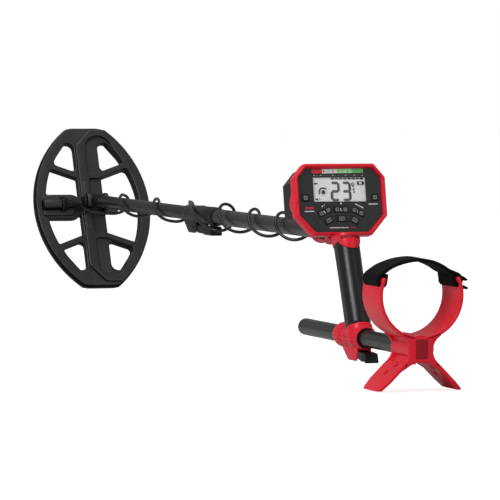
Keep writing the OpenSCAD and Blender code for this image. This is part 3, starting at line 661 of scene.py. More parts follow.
# ---------------------------------------------------------------- coil
SIDE_RADIUS, SIDE_SHIFT = 161.0, 72.0     # side arcs, struck from beyond the centre line
RIM = 17.0                                # width of the outer ring
WINDOW_END = 92                           # x where the arc of a window stops
LEFT_WINDOW_Y, RIGHT_WINDOW_Y = 19.2, 17.8     # inner edges of the windows
SPOKE_X = 46.8                            # spoke's centre line near the spine
HALF_SPOKE = 4.25
COIL_EDGE = 1.6                           # shell stands inside the skid's outline
ENTRY_Z = 12                              # cable axis above the coil's plane
ENTRY = COIL @ along_y(0, ENTRY_Z)


def side_y(radius, x):
    return math.sqrt(max(0.0, radius * radius - x * x)) - SIDE_SHIFT


def coil_outline(inward=0.0):
    """plan of the coil: two side arcs, rounded toe and heel"""
    side_radius, end_radius, end_limit = SIDE_RADIUS - inward, 129.0 - inward, 127.5 - inward
    meet = 60.0          # x where side and end arcs meet
    while meet * meet + side_y(side_radius, meet) ** 2 < end_radius * end_radius:
        meet += 0.04
    xs = [meet - 2 * meet * k / 44 for k in range(45)]
    left = [(x, side_y(side_radius, x)) for x in xs]
    a0 = math.atan2(side_y(side_radius, meet), meet)
    turns = [math.pi - a0 + 2 * a0 * k / 14 for k in range(1, 14)]
    heel = [(max(-end_limit, end_radius * math.cos(a)), end_radius * math.sin(a)) for a in turns]
    half = left + heel
    return ccw(half + [(-x, -y) for x, y in half])


def raw_windows(edge_y, inward):
    """middle, toe and heel openings of a side, drawn for the left one"""
    radius = SIDE_RADIUS - RIM - inward
    y0 = edge_y + inward
    y1 = side_y(radius, WINDOW_END)
    side = [(x, side_y(radius, x)) for x in np.linspace(WINDOW_END, -WINDOW_END, 47)]
    r = (y1 - y0) / 2
    heel_cap = [(-WINDOW_END + r * math.cos(a), (y0 + y1) / 2 + r * math.sin(a))
                for a in np.linspace(math.pi / 2, 3 * math.pi / 2, 13)][1:-1]
    toe_cap = [(-x, (y0 + y1) - y) for x, y in heel_cap]
    full = dedupe(side + heel_cap + [(-WINDOW_END, y0), (WINDOW_END, y0)] + toe_cap)
    # the spoke's centre line is nx * x + ny * y = c
    ax, ay, bx, by = SPOKE_X, edge_y - 8, 67.5, 66.0
    length = math.hypot(bx - ax, by - ay)
    nx, ny = (by - ay) / length, -(bx - ax) / length
    c = nx * ax + ny * ay
    half = HALF_SPOKE + inward
    middle = clip(clip(full, nx, ny, c - half), -nx, ny, c - half)
    toe = clip(full, -nx, -ny, -(c + half))
    heel = clip(full, nx, -ny, -(c + half))
    return [ccw(dedupe(p)) for p in (middle, toe, heel)]


def side_windows(side, edge_y, inward):
    return [[(x, side * y) for x, y in round_sharp(p, 6.5)] for p in raw_windows(edge_y, inward)]


def left_middle_windows(inward):
    """the left middle opening runs round the cable entry, as two halves"""
    middle = raw_windows(LEFT_WINDOW_Y, inward)[0]
    points = []
    for x, y in ccw(dedupe(clip(middle, -1, 0, -(19.0 + inward)))):
        if abs(x - 19 - inward) < 0.3 and y < 20.2 + inward:
            turns = [rad(51 * k / 6) for k in range(7)]
            points += [(inward + 19 * math.cos(a), 34.2 - 19 * math.sin(a)) for a in turns]
        else:
            points.append((x, y))
    half = round_sharp(points, 2.6, limit=30)
    return [half, mirror_x(half)]


def coil_windows(inward=0.0):
    return (left_middle_windows(inward) + side_windows(1, LEFT_WINDOW_Y, inward)[1:]
            + side_windows(-1, RIGHT_WINDOW_Y, inward))


def raised_outline():
    """the coil's outline cut back on its left side by a, b, c of a*x + b*y <= c"""
    points = coil_outline(COIL_EDGE)
    for a, b, c in ((0, 1, 17.5), (23.5, 25, 2693.5), (-23.5, 25, 2693.5),
                    (94, 3, 11356), (-94, 3, 11356)):
        points = clip(points, a, b, c)
    return round_sharp(dedupe(points), 4.0, limit=20)


def raised_openings():
    """the opening of the raised ring, split by its two spokes"""
    radius = SIDE_RADIUS - RIM
    rim = [(x, -side_y(radius, x)) for x in np.linspace(-WINDOW_END, WINDOW_END, 61)]
    cap = [(91 + 21 * math.cos(a), -18 + 21 * math.sin(a))
           for a in np.linspace(-math.pi / 2 + 0.5, math.pi / 2, 13)]
    spoke_length = 59.89
    nx, ny = 56.2 / spoke_length, 20.7 / spoke_length

    def across(x, y):
        return nx * x + ny * y

    inner = (SPOKE_X - nx * HALF_SPOKE, -9.8 - ny * HALF_SPOKE)
    outer = (SPOKE_X + nx * HALF_SPOKE, -9.8 + ny * HALF_SPOKE)
    inner_c, outer_c = across(*inner), across(*outer)
    middle = [p for p in rim if across(abs(p[0]), p[1]) < inner_c - 0.5]
    x = middle[-1][0]
    while across(x, -side_y(radius, x)) < inner_c:
        x += 0.05
    y = -side_y(radius, x)
    near, far = 48 - HALF_SPOKE, 48 + HALF_SPOKE
    middle = [(-x, y)] + middle + [(x, y), inner, (near, -8.8), (near, 3), (-near, 3),
                                   (-near, -8.8), (-inner[0], inner[1])]
    toe = [p for p in rim if p[0] > 0 and across(*p) > outer_c + 0.5 and p[0] < 90]
    x = toe[0][0]
    while across(x, -side_y(radius, x)) > outer_c:
        x -= 0.05
    toe = [(x, -side_y(radius, x))] + toe + cap + [(far, 3), (far, -12.3)]
    return [round_sharp(ccw(dedupe(p)), 4.5, limit=30) for p in (middle, toe, mirror_x(toe))]


def build_coil_shell():
    def plate(outline, z0, z1, bevel, **options):
        return prism(outline, z0, z1, bevel, coil_black, COIL, **options)

    parts = [
        plate(coil_outline(COIL_EDGE), -7.1, 4.0, 1.5, holes=coil_windows(), segs=4, bevel0=0.3),
        plate(raised_outline(), 3.0, 9.0, 1.7, holes=raised_openings(), segs=4, bevel0=0.0),
        # low panel across the spine, and a thin strip near its left edge
        plate(round_box(-11, 11, -38, 15, 4), 3.5, 4.9, 0.6),
        plate(round_box(-38, 38, 6, 14.5, 3), 8.8, 9.3, 0.4),
        # cable entry: bed, barrel and the block under it
        plate(round_box(-16, 16, 30, 79, [9, 9, 3, 3]), 3.4, 8.0, 1.4, segs=4),
        lathe([(0.0, 80), (6.6, 80), (7.6, 79.4), (8.2, 78), (8.2, 53), (7.9, 52), (0.0, 52)],
              coil_black, ENTRY, 40),
        plate(round_box(-8.2, 8.2, 52, 80, 1.2), 6, 12, 0.2),
    ]
    # hinge ears, each on a footing
    ear = [(-17, 3.0), (17, 3.0), (13.2, 9)] + arc(0, PIVOT_HEIGHT, 12, -12, 192, 26)
    ear.append((-13.2, 9))
    for y0, y1 in ((10.6, 16.5), (-16.5, -10.6)):
        parts.append(prism(ear, -y1, -y0, 1.0, coil_black, COIL @ SIDE))
        parts.append(plate(round_box(-16, 16, y0 - 1.5, y1 + 1.5, 2), 3.4, 10.0, 1.2))
    assemble("coil_shell_body", parts, "coil", "coil_black", "coil_shell")


def build_coil_skid():
    """floor plate with the windows, and a thin wall round the rim"""
    outline = coil_outline()
    parts = [prism(outline, -9.0, -7.1, 0.1, skid_black, COIL, holes=coil_windows(0.15),
                   bevel0=0.8),
             prism(outline, -8.0, -3.0, 0.35, skid_black, COIL, holes=[coil_outline(1.5)])]
    assemble("coil_skid_plate", parts, "coil", "skid_black", "coil_skid")


def build_cable_gland():
    parts = [lathe([(2.6, 43.6), (8.8, 43.6), (9.9, 44.2), (10.1, 45), (10.1, 46.4), (9.0, 46.9),
                    (9.0, 47.7), (10.7, 48.1), (11.2, 48.8), (11.2, 51), (10.6, 51.9),
                    (2.6, 51.9)], hard_black, ENTRY, 40, caps=True)]
    ribs = 12
    for i in range(ribs):
        turned_frame = (COIL @ Matrix.Translation((0, 0, ENTRY_Z))
                        @ Matrix.Rotation(math.tau * i / ribs, 4, "Y"))
        parts.append(prism(round_box(-1.0, 1.0, 48.2, 51.6, 0.4), 10.4, 11.7, 0.3, hard_black,
                           turned_frame))
    assemble("cable_gland_body", parts, "coil", "hard_black", "cable_gland")


def build_strain_relief():
    """tapered boot with seven rings"""
    start, end, pitch = 24.6, 44, 3.1

    def radius(y):
        return 4.0 + (y - start) / (end - start) * 3.4

    profile = [(2.3, start)]
    for k in range(7):
        y = start + pitch * k
        profile += [(radius(y) - 0.9, y), (radius(y), y + 0.35), (radius(y + 1.7), y + 1.75),
                    (radius(y + 1.7) - 0.9, y + 2.1), (radius(y + 2) - 1.0, y + 2.9)]
    profile += [(6.6, 44.6), (2.3, 44.6)]
    boot = lathe(profile, soft_black, ENTRY, 32, caps=True, name="strain_relief_boot", angle=50)
    place(boot, "coil", "soft_black", "strain_relief")


def build_pivot_knob():
    profile = [(4.1, 16.6, 0), (8.6, 16.6, 1), (9.5, 17.2, 1), (9.5, 19.8, 1), (8.9, 20.6, 1),
               (7.6, 21.0, 1), (5.0, 21.0, 0), (4.1, 20.7, 0)]
    knob = fluted(profile, depth=0.9, flutes=12, power=2, count=96, mat=hard_black,
                  frame=along_y(PIVOT_X, 0))
    assemble("pivot_knob", [knob], "coil_nut", "hard_black", "pivot_nut")


# ---------------------------------------------------------------- tubes
def build_shaft_tubes():
    lower = xlathe([(8.3, 430), (9.3, 430), (9.5, 430.4), (9.5, 1039.9), (8.3, 1039.9),
                    (8.3, 430)], tube_black)
    assemble("lower_tube_body", [lower], "lower_shaft", "tube_black", "lower_tube")
    middle = xlathe([(9.56, 30), (10.8, 30), (10.8, 560), (9.56, 560), (9.56, 30)], tube_black)
    assemble("mid_tube_body", [middle], "chassis", "tube_black", "mid_tube")


def build_arm_tube():
    parts = [xlathe([(9.6, -262), (10.8, -262), (10.8, 140), (9.6, 140), (9.6, -262)],
                    arm_black, ARM_Z)]
    for i in range(7):     # detent holes on the under side, painted as dark discs of shade
        below = Matrix.Translation((60 - i * 22, 0, ARM_Z)) @ Matrix.Rotation(math.pi, 4, "X")
        parts.append(prism(arc(0, 0, 2.4, 0, 345, 14), 10.78, 10.86, 0.01, hole_shade_black, below))
    assemble("arm_tube_body", parts, "arm", "tube_black", "arm_tube")
    cap = xlathe([(0, 139), (9.6, 139), (10.5, 140.1), (10.8, 140.6), (10.8, 142), (10.3, 143.2),
                  (9.0, 143.9), (6.5, 144), (0, 144)], hard_black, ARM_Z, name="arm_tube_cap")
    place(cap, "arm", "hard_black", "arm_plug_front")


# ---------------------------------------------------------------- front clamp
def lever_barrel(x, z, half):
    return lathe([(0, -half), (4.5, -half), (4.8, 0.4 - half), (4.8, half - 0.4), (4.5, half),
                  (0, half)], hard_black, along_y(x, z), 28)


def build_front_clamp():
    parts = [xlathe([(10.85, 497), (11.6, 497), (12.2, 498), (12.6, 500.5), (12.6, 563),
                     (12.6, 565), (13.0, 565.8), (13.2, 567.0), (13.0, 569.0), (12.6, 570),
                     (12.3, 590), (12.0, 612), (11.7, 627), (11.4, 630), (10.6, 632.6),
                     (9.56, 633), (9.56, 600)], hard_black)]
    cheek = fillet([(568, -4), (621, -4), (621, -12), (602, -25.4), (577, -25.4), (568, -22)],
                   [0, 0, 2, 5, 5, 3])
    for z0, z1 in ((5.9, 9.0), (-9.0, -5.9)):
        parts.append(prism(cheek, z0, z1, 0.8, hard_black, SIDE))
    # web between the cheeks at their front end
    parts.append(prism(fillet([(604, -4), (621, -4), (621, -12), (606, -22.5)], [0, 0, 2, 3]),
                       -6, 6, 0.2, hard_black, SIDE))
    for x in (506, 511, 516, 521):
        parts.append(xlathe([(12.5, x), (12.95, x + 0.6), (12.95, x + 2.2), (12.5, x + 2.8)],
                            hard_black))
    assemble("front_clamp_collar", parts, "chassis", "hard_black", "front_clamp_body")


def build_front_lever():
    """ribbed paddle under the tube, with its barrel and the arm that joins them"""
    blade = [(567.3, -14.3), (540, -13.8), (512, -13.6), (506, -14.6),
             (505, -26.4), (512, -25.6), (540, -25.0), (567.3, -24.4)]
    parts = [prism(fillet(ccw(blade), 1.6, 4), -8.0, 8.0, 1.1, hard_black, SIDE)]
    for x in (512, 519, 526, 533, 540):
        parts.append(prism(round_box(x, x + 2.2, -6.6, 6.6, 0.7), -26.3, -24.7, 0.4, hard_black))
    parts.append(lever_barrel(590, -17.9, 6))
    arm = [(560, -23.2), (589, -23.2), (592, -20), (592, -17), (588, -16), (560, -16)]
    parts.append(prism(fillet(arm, 1), -6, 6, 0.7, hard_black, SIDE))
    assemble("front_clamp_paddle", parts, "front_lever", "hard_black", "front_clamp_lever")


# ---------------------------------------------------------------- handle
def build_grip():
    rows = [(-124.5, 28.2, 35.2, 0), (-123.7, 29.6, 36.6, 0), (-121, 30, 37, 0),
            (-100, 29.8, 36.6, 0), (-78, 29.6, 35.6, 0.2), (-55, 29.6, 35.8, 0.1),
            (-34, 29.8, 36.6, 0), (-14.1, 30, 37, 0)]
    grip = stadium_loft(rows, grip_black, 22, name="grip_cover", angle=60)
    place(grip, "chassis", "grip_black", "grip_sleeve")


def tongue():
    """lip over the back of the grip that ends in a half round"""
    count = 28
    outer_radius, inner_radius, centre_x = 17.0, 15.15, -3.5
    inner, lower, rounded, upper = [], [], [], []
    for k in range(count + 1):
        share = -1 + 2 * k / count
        y = share * 14.6
        low = -11 - 16 * math.sqrt(max(0, 1 - share * share))
        outer_x = centre_x - math.sqrt(outer_radius ** 2 - y * y)
        inner_x = centre_x - math.sqrt(inner_radius ** 2 - y * y)
        inner.append((inner_x, y, low + 0.3))
        lower.append((outer_x + 0.5, y, low))
        rounded.append((outer_x, y, low + 0.9 if low < -11.5 else low))
        upper.append((outer_x, y, -9))
    n = count + 1
    faces = [(j * n + k, j * n + k + 1, (j + 1) * n + k + 1, (j + 1) * n + k)
             for j in range(3) for k in range(count)]
    faces += [(k, n + k, 2 * n + k, 3 * n + k) for k in (0, count)]
    return mesh(inner + lower + rounded + upper, faces, red, HAND)


def neck():
    """stadium column with flattened sides, cut off at the pod's lower edge"""
    # z, width, depth, limit of y
    rows = [(-14.0, 33.2, 40.2, 13.2), (-13.0, 34.0, 41.0, 13.7), (0, 34.0, 41.0, 13.7),
            (12.0, 34.0, 41.0, 13.7)]
    rings = [[(x, max(-limit, min(limit, y)), z) for x, y in stadium(width, depth, 22)]
             for z, width, depth, limit in rows]
    return cut(loft(rings, red, HAND), (POD @ Vector((0, -45.1, 0))) * MM, POD_UP)


def build_handle_frame():
    parts = [xlathe([(10.9, 24), (14.2, 24), (15.0, 24.8), (15.0, 80.6), (15.4, 81.6),
                     (16.0, 82.4), (16.0, 85.4), (15.5, 86.6), (14.6, 87.6), (14.0, 88),
                     (10.9, 88)], red),
             prism(round_box(29, 86, -15, 15, 3), 0, 15.2, 1.0, red),
             neck()]
    web = fillet([(-2, -5), (60, -5), (59, -8.6), (34, -15.3), (16, -14.6), (4, -8.4),
                  (-2, -7.0)], [0, 2, 3, 6, 4, 4, 1])
    parts.append(prism(web, -12, 12, 1.6, red, SIDE, segs=4))
    parts.append(tongue())
    # slots on both sides of the sleeve, painted as dark shade
    for z0, z1 in ((-14.35, -13.1), (13.1, 14.35)):
        for x in (40, 60):
            parts.append(prism(round_box(x, x + 14, -9, -4, 1.2), z0, z1, 0.1, hole_shade_black,
                               SIDE))
    # foot of the frame inside the grip, in the darker copy of the red used as painted shade
    parts.append(stadium_loft([(-127, 19, 26, 0), (-100, 19, 26, 0)], red_painted_shade, 16))
    assemble("handle_frame_body", parts, "chassis", "red_plastic", "handle_frame")


# ---------------------------------------------------------------- rear clamp
def rear_collar():
    """fluted sleeve on the arm tube, with a slot left open in its under side"""
    profile = [
        (12.7, -60, 0), (12.7, -80.6, 0), (13.4, -81, 0), (14.2, -80.6, 0), (15.4, -77, 1.0),
        (15.4, -68, 1.0), (16.2, -66.4, 1.0), (16.2, -54.6, 1.0), (15.4, -53, 1.0),
        (15.4, -43, 1.0), (15.9, -41.4, 1.0), (15.9, -30.6, 1.0), (15.2, -29, 1.0),
        (15.3, -27.6, 1.0), (15.9, -26.4, 1.0), (15.9, -3.0, 1.0), (15.2, 0.6, 0.7),
        (13.6, 6.6, 0.3), (12.6, 8, 0), (10.9, 8, 0)]
    collar = fluted(profile, depth=1.1, flutes=18, power=3, count=128, mat=red,
                    frame=along_x(ARM_Z))
    bm = bmesh.new()
    bm.from_mesh(collar.data)
    slot_faces = []
    for face in bm.faces:
        x, y, z = face.calc_center_median()
        if -0.066 < x < -0.029 and abs(y) < 0.0074 and z < (ARM_Z - 8) * MM:
            slot_faces.append(face)
    bmesh.ops.delete(bm, geom=slot_faces, context="FACES")
    bm.to_mesh(collar.data)
    bm.free()
    return collar


def build_rear_clamp():
    # the foot of the grip stands in a stadium-shaped seat
    seat = [(-137.9, 29, 37, 0), (-136.8, 31, 39, 0), (-135.5, 32, 40, 0), (-126.4, 32, 40, 0),
            (-125.2, 31.4, 39.4, 0), (-124.7, 30.4, 38.4, 0)]
    parts = [rear_collar(), stadium_loft(seat, red, 22)]
    cheek = fillet([(-20, ARM_Z - 2), (-72, ARM_Z - 2), (-72, ARM_Z - 20), (-67, ARM_Z - 29),
                    (-40, ARM_Z - 29), (-20, ARM_Z - 16)], [0, 0, 3, 5, 7, 3])
    for z0, z1 in ((6.9, 9.6), (-9.6, -6.9)):
        parts.append(prism(cheek, z0, z1, 1.0, red, SIDE))
    web = fillet([(-20, ARM_Z - 2), (-29.4, ARM_Z - 2), (-29.4, ARM_Z - 22.0),
                  (-20, ARM_Z - 16)], [0, 0, 2, 3])
    parts.append(prism(web, -6.8, 6.8, 0.2, red, SIDE))
    assemble("rear_clamp_collar", parts, "chassis", "red_plastic", "rear_clamp_body")


def build_rear_lever():
    # x, drop below the arm tube's axis, corner radius
    blade = [(-72.6, 16.4, 1.5), (-82, 16.6, 0), (-96, 17.6, 3), (-100, 26.6, 1),
             (-99.4, 29.8, 1), (-93, 27.6, 3), (-82, 27.0, 0), (-72.6, 26.4, 1.5)]
    arm = [(-70, 25), (-48, 25), (-44, 22), (-44, 18), (-48, 17), (-70, 17)]
    parts = [prism(fillet([(x, ARM_Z - drop) for x, drop, _ in blade], [b[2] for b in blade], 4),
                   -9, 9, 1.2, hard_black, SIDE),
             lever_barrel(-46, ARM_Z - 19.4, 6.5),
             prism(fillet([(x, ARM_Z - drop) for x, drop in arm], 1), -6.5, 6.5, 0.7,
                   hard_black, SIDE)]
    for x in (-93, -86.5, -80):
        parts.append(prism(round_box(x, x + 2.4, -7.5, 7.5, 0.7), ARM_Z - 28.5, ARM_Z - 26.5,
                           0.4, hard_black))
    assemble("rear_clamp_paddle", parts, "rear_lever", "hard_black", "rear_clamp_lever")


# ---------------------------------------------------------------- armrest
REST_REAR, REST_FRONT = -268.0, -206.0
CUFF_OUTER, CUFF_INNER = 53.5, 49.5       # radii round CUFF_Z
FOOT_Z = ARM_Z - 50


def cuff_band(side, a0, a1, count):
    """section of the cuff between two angles; side is 1 for the left and -1 for the right"""
    points = (arc(0, CUFF_Z, CUFF_OUTER, a0, a1, count)
              + arc(0, CUFF_Z, CUFF_INNER, a1, a0, count))
    return ccw([(side * y, z) for y, z in points])


def cuff(side):
    """one arm of the cuff, the bar above its strap slot and the two posts between them"""
    parts = [prism(round_sharp(cuff_band(side, -82, 12.6, 26), 1.2, limit=40, count=4),
                   REST_REAR, REST_FRONT, 1.4, red, ALONG, segs=4),
             prism(round_sharp(cuff_band(side, 17.4, 24.5, 5), 1.4, limit=40),
                   REST_REAR + 0.5, REST_FRONT - 0.5, 1.3, red, ALONG, segs=4)]
    for x0, x1 in ((REST_REAR, REST_REAR + 4), (REST_FRONT - 4, REST_FRONT)):
        parts.append(prism(cuff_band(side, 11.4, 18.6, 7), x0, x1, 1.0, red, ALONG))
    return parts


def hub_section(top_radius, top_angle, waist_radius, waist_count, corners):
    """waisted block between the cuff and the legs; corners are its left foot corners"""
    top = arc(0, CUFF_Z, top_radius, -90 - top_angle, -90 + top_angle, 17)
    waist = arc(34.9, ARM_Z - 1.6, waist_radius, 120, 225, waist_count)
    under = arc(0, ARM_Z - 45, 29, 50, 130, 17)
    return ccw(dedupe(top + waist + corners + under + mirror_x(corners)
                      + mirror_x(waist)[::-1], 0.5))


def hub():
    """two end plates, a slimmer middle, a dark red panel at the rear that paints the shade of its
    pocket, and the tube's sleeve
    """
    plate = hub_section(49.8, 29.5, 20, 21, [(25.4, ARM_Z - 26.6)])
    middle = hub_section(50.2, 28, 23.2, 19, [])
    bore = [arc(0, ARM_Z, 10.85, 0, 352, 44)]
    return [
        prism(plate, REST_REAR, REST_REAR + 4.6, 1.0, red, ALONG, segs=4, bevel0=1.2),
        prism(middle, REST_REAR + 4.4, REST_FRONT - 4.4, 0.1, red, ALONG, holes=bore, segs=2),
        prism(plate, REST_FRONT - 4.6, REST_FRONT, 1.2, red, ALONG, holes=bore, segs=4,
              bevel0=1.0),
        # painted shade: a dark red panel stands in for the pocket in the rear face
        prism(round_box(-8, 8, ARM_Z - 12, ARM_Z + 12, 2.5), REST_REAR - 0.06, REST_REAR + 1.0,
              0.1, red_painted_shade, ALONG),
        xlathe([(10.9, REST_REAR + 2), (15.6, REST_REAR + 2), (16.5, REST_REAR + 2.9),
                (16.5, REST_FRONT - 1), (15.6, REST_FRONT), (10.9, REST_FRONT)], red, ARM_Z)]


def leg(side):
    """plate at 45 degrees with two holes, cut level at the foot"""
    r = math.sqrt(0.5)
    top_z = ARM_Z - 25.72
    # x along the row's x, y down the leg, z out of its upper face
    leg_frame = axes((1, 0, 0), (0, side * r, -r), (0, side * r, r), (0, side * 30.77, top_z))
    length = (top_z - FOOT_Z) / r + 0.4
    plate = [(REST_REAR, -14), (REST_FRONT, -14), (REST_FRONT, length - 17),
             (REST_FRONT - 6, length), (REST_REAR + 6, length), (REST_REAR, length - 17)]
    holes = [arc(-247, -8.33, 3.5, 0, 345, 22), arc(-237, 4.4, 3.5, 0, 345, 22)]
    obj = prism(fillet(plate, [0, 0, 9, 9, 9, 9], 6), -4.5, 0.0, 1.2, red, leg_frame,
                holes=holes, segs=4)
    if side < 0:      # the right leg's frame is left-handed
        obj.data.flip_normals()
    return cut(obj, (0, 0, (FOOT_Z - 0.02) * MM), (0, 0, -1))


def build_armrest():
    parts = cuff(1) + cuff(-1) + hub() + [leg(1), leg(-1)]
    assemble("armrest_body", parts, "arm", "red_plastic", "armrest")


# ---------------------------------------------------------------- strap
# centre of the left bar; the right one mirrors it
BAR_Y, BAR_Z = 51.5 * math.cos(rad(21)), CUFF_Z + 51.5 * math.sin(rad(21))


def ribbon(path, margin, thick):
    """soft-edged, slightly rippled sheet along (y, z) points; margin is kept at both x ends"""
    x0, x1 = REST_REAR + margin, REST_FRONT - margin
    points = [Vector(p) for p in path]
    section = []
    for k in range(27):
        share = k / 26
        edge = min(share, 1 - share) * (x1 - x0)
        fullness = 0.5 if edge <= 0 else 0.55 + 0.45 * min(1, edge / 1.4)
        section.append((x0 + (x1 - x0) * share, thick * fullness / 2))
    section += [(x, -half) for x, half in reversed(section)]
    verts = []
    run = 0.0
    for i, point in enumerate(points):
        if i:
            run += (point - points[i - 1]).length
        along = (points[min(i + 1, len(points) - 1)] - points[max(i - 1, 0)]).normalized()
        normal = Vector((-along.y, along.x))
        for x, half in section:
            ripple = (0.35 * math.sin(run / 9.0 + x / 17.0)
                      + 0.25 * math.sin(run / 4.3 - x / 11.0))
            moved = point + normal * (half + ripple * 0.5)
            verts.append((x, moved.x, moved.y))
    n = len(section)
    faces = []
    for i in range(len(points) - 1):
        for k in range(n):
            a, b = i * n + k, i * n + (k + 1) % n
            faces.append((a, b, b + n, a + n))
    faces.append(tuple(reversed(range(n))))
    faces.append(tuple((len(points) - 1) * n + k for k in range(n)))
    return mesh(verts, faces, webbing)


def strap_path():
    """tail inside the left bar, round it, over the top, down and round the right bar"""
    y, z = BAR_Y, BAR_Z

    def wrap(centre_y, reach, a0, a1):
        return [(centre_y + reach * math.cos(a), z + 7.0 * math.sin(a))
                for a in np.linspace(rad(a0), rad(a1), 9)]

    path = [(y - 5.2, z + 7.5), (y - 4.6, z + 1.0), (y - 3.6, z - 4.5)]
    path += wrap(y, 5.0, -140, -10)
    path += smooth_path([
        (y + 5.6, z), (y + 4.2, z + 5), (y - 3, z + 10.4), (y - 13.4, z + 16.4),
        (y - 27, z + 21.2), (y - 41, z + 23.6), (-3, z + 23.8), (-16, z + 21.1),
        (-28, z + 16.2), (-38, z + 10), (-y - 1.5, z + 5.5), (-y - 5.2, z + 0.5)], 7)
    path += wrap(-y, 5.2, 190, 320)
    path += [(-y + 4.6, z + 0.5), (-y + 5.6, z + 7.0)]
    return dedupe(path, 0.6)


def build_strap():
    parts = [ribbon(smooth_path(strap_path(), 2), margin=6, thick=4.6)]
    # two tabs that stand out beyond the right bar, as (y, z) from its centre
    for tab in (((-3.0, 3.2), (-6.0, 2.4), (-9.0, 1.0), (-12.0, -1.0)),
                ((-2.6, -7.0), (-6.0, -8.2), (-9.5, -9.4), (-13.0, -11.0))):
        path = smooth_path([(-BAR_Y + y, BAR_Z + z) for y, z in tab], 4)
        parts.append(ribbon(path, margin=6.5, thick=3.0))
    assemble("arm_strap_run", parts, "arm", "webbing", "arm_strap")


# ---------------------------------------------------------------- pod
def cut_box(w, h, top_x, top_y, low_x, low_y):
    """box of half sizes w, h with its corners cut off by the given lengths"""
    return [(w - top_x, h), (-w + top_x, h), (-w, h - top_y), (-w, -h + low_y),
            (-w + low_x, -h), (w - low_x, -h), (w, -h + low_y), (w, h - top_y)]


POD_OUTER = [(x, y * 1.035 if y > 0 else y)
             for x, y in fillet(cut_box(61, 45, 14.5, 17, 22, 25), 4.5, 6)]
POD_INNER = fillet(cut_box(55.1, 40.6, 10, 12, 20, 21.5), 3.0, 6)


def pod_outline(share):
    """0 gives the outer outline and 1 the inner one"""
    return [(p[0] + (q[0] - p[0]) * share, p[1] + (q[1] - p[1]) * share)
            for p, q in zip(POD_OUTER, POD_INNER)]


def build_pod_rim():
    # share of the way from outer to inner outline, z
    profile = [(0.02, -11.9), (0.0, -11.3), (0.0, 0.6), (0.03, 2.0), (0.13, 3.4), (0.30, 4.5),
               (0.46, 4.95), (0.60, 4.9), (0.74, 4.3), (0.86, 3.2), (0.95, 1.9), (1.0, 0.9),
               (1.0, -1.7)]
    rings = [[(x, y, z) for x, y in pod_outline(share)] for share, z in profile]
    opening = [pod_outline(1.3)]
    parts = [loft(rings, red, POD, caps=False),
             prism(pod_outline(0.2), -16.0, -11.6, 0.5, hard_black, POD, holes=opening),
             prism(pod_outline(0.02), -11.9, -11.2, 0.1, red, POD, holes=opening)]
    # loudspeaker bulge on the left wall, with a grille of nine discs of painted shade for its
    # holes
    speaker = POD @ axes((0, 1, 0), (0, 0, -1), (-1, 0, 0), (-59.5, -2, -7.6))
    parts.append(lathe([(13.2, 0.3), (12.6, 1.0), (11.4, 1.6), (9.6, 1.9), (6, 2.1), (0, 2.2)],
                       red, speaker, 44))
    for i in (-1, 0, 1):
        for j in (-1, 0, 1):
            parts.append(prism(arc(i * 5.0, j * 4.4, 0.95, 0, 330, 12), 1.2,
                               2.2 - 0.10 * (abs(i) + abs(j)), 0.02, hole_shade_black, speaker))
    assemble("pod_rim", parts, "chassis", "red_plastic", "pod_bezel")


# ---------------------------------------------------------------- printed marks
MARK_Z = 0.11            # marks printed over the coloured band
LCD_Z = -1.05            # top of the display's segments
LCD_THICK = 0.46


def turned(points, x, y, degrees):
    c, s = math.cos(rad(degrees)), math.sin(rad(degrees))
    return [(x + u * c - v * s, y + u * s + v * c) for u, v in points]


def rect(x, y, w, h, degrees=0.0, radius=0.0):
    corners = [(-w / 2, -h / 2), (w / 2, -h / 2), (w / 2, h / 2), (-w / 2, h / 2)]
    points = turned(corners, x, y, degrees)
    return fillet(points, radius, 3) if radius else points


def ring(x, y, r, width, a0=0, a1=345):
    return arc(x, y, r, a0, a1, 20) + arc(x, y, r - width, a1, a0, 20)


def flat(points, mat, z=0.07, thick=0.06, frame=POD, holes=()):
    """thin sharp-edged mark with its top at z"""
    return prism(points, z - thick, z, 0.0, mat, frame, holes=holes, segs=1)


def box_mark(x, y, w, h, border, mat, z, thick, frame=POD):
    inner = rect(x, y, w - border, h - border, 0, 0.3)
    return flat(rect(x, y, w, h, 0, 0.5), mat, z, thick, frame, holes=[inner])


def dashes(x0, x1, y, h, seed, mat, degrees=0.0):
    """a row of strokes of uneven length in place of small print"""
    draw = random.Random(seed)
    x = x0
    strokes = []
    c, s = math.cos(rad(degrees)), math.sin(rad(degrees))
    while x < x1 - 0.5:
        w = min(draw.uniform(0.9, 2.2), x1 - x)
        along = x + w / 2 - x0
        strokes.append(flat(rect(x0 + along * c, y + along * s, w, h, degrees, 0.15), mat))
        x += w + 0.45
    return strokes


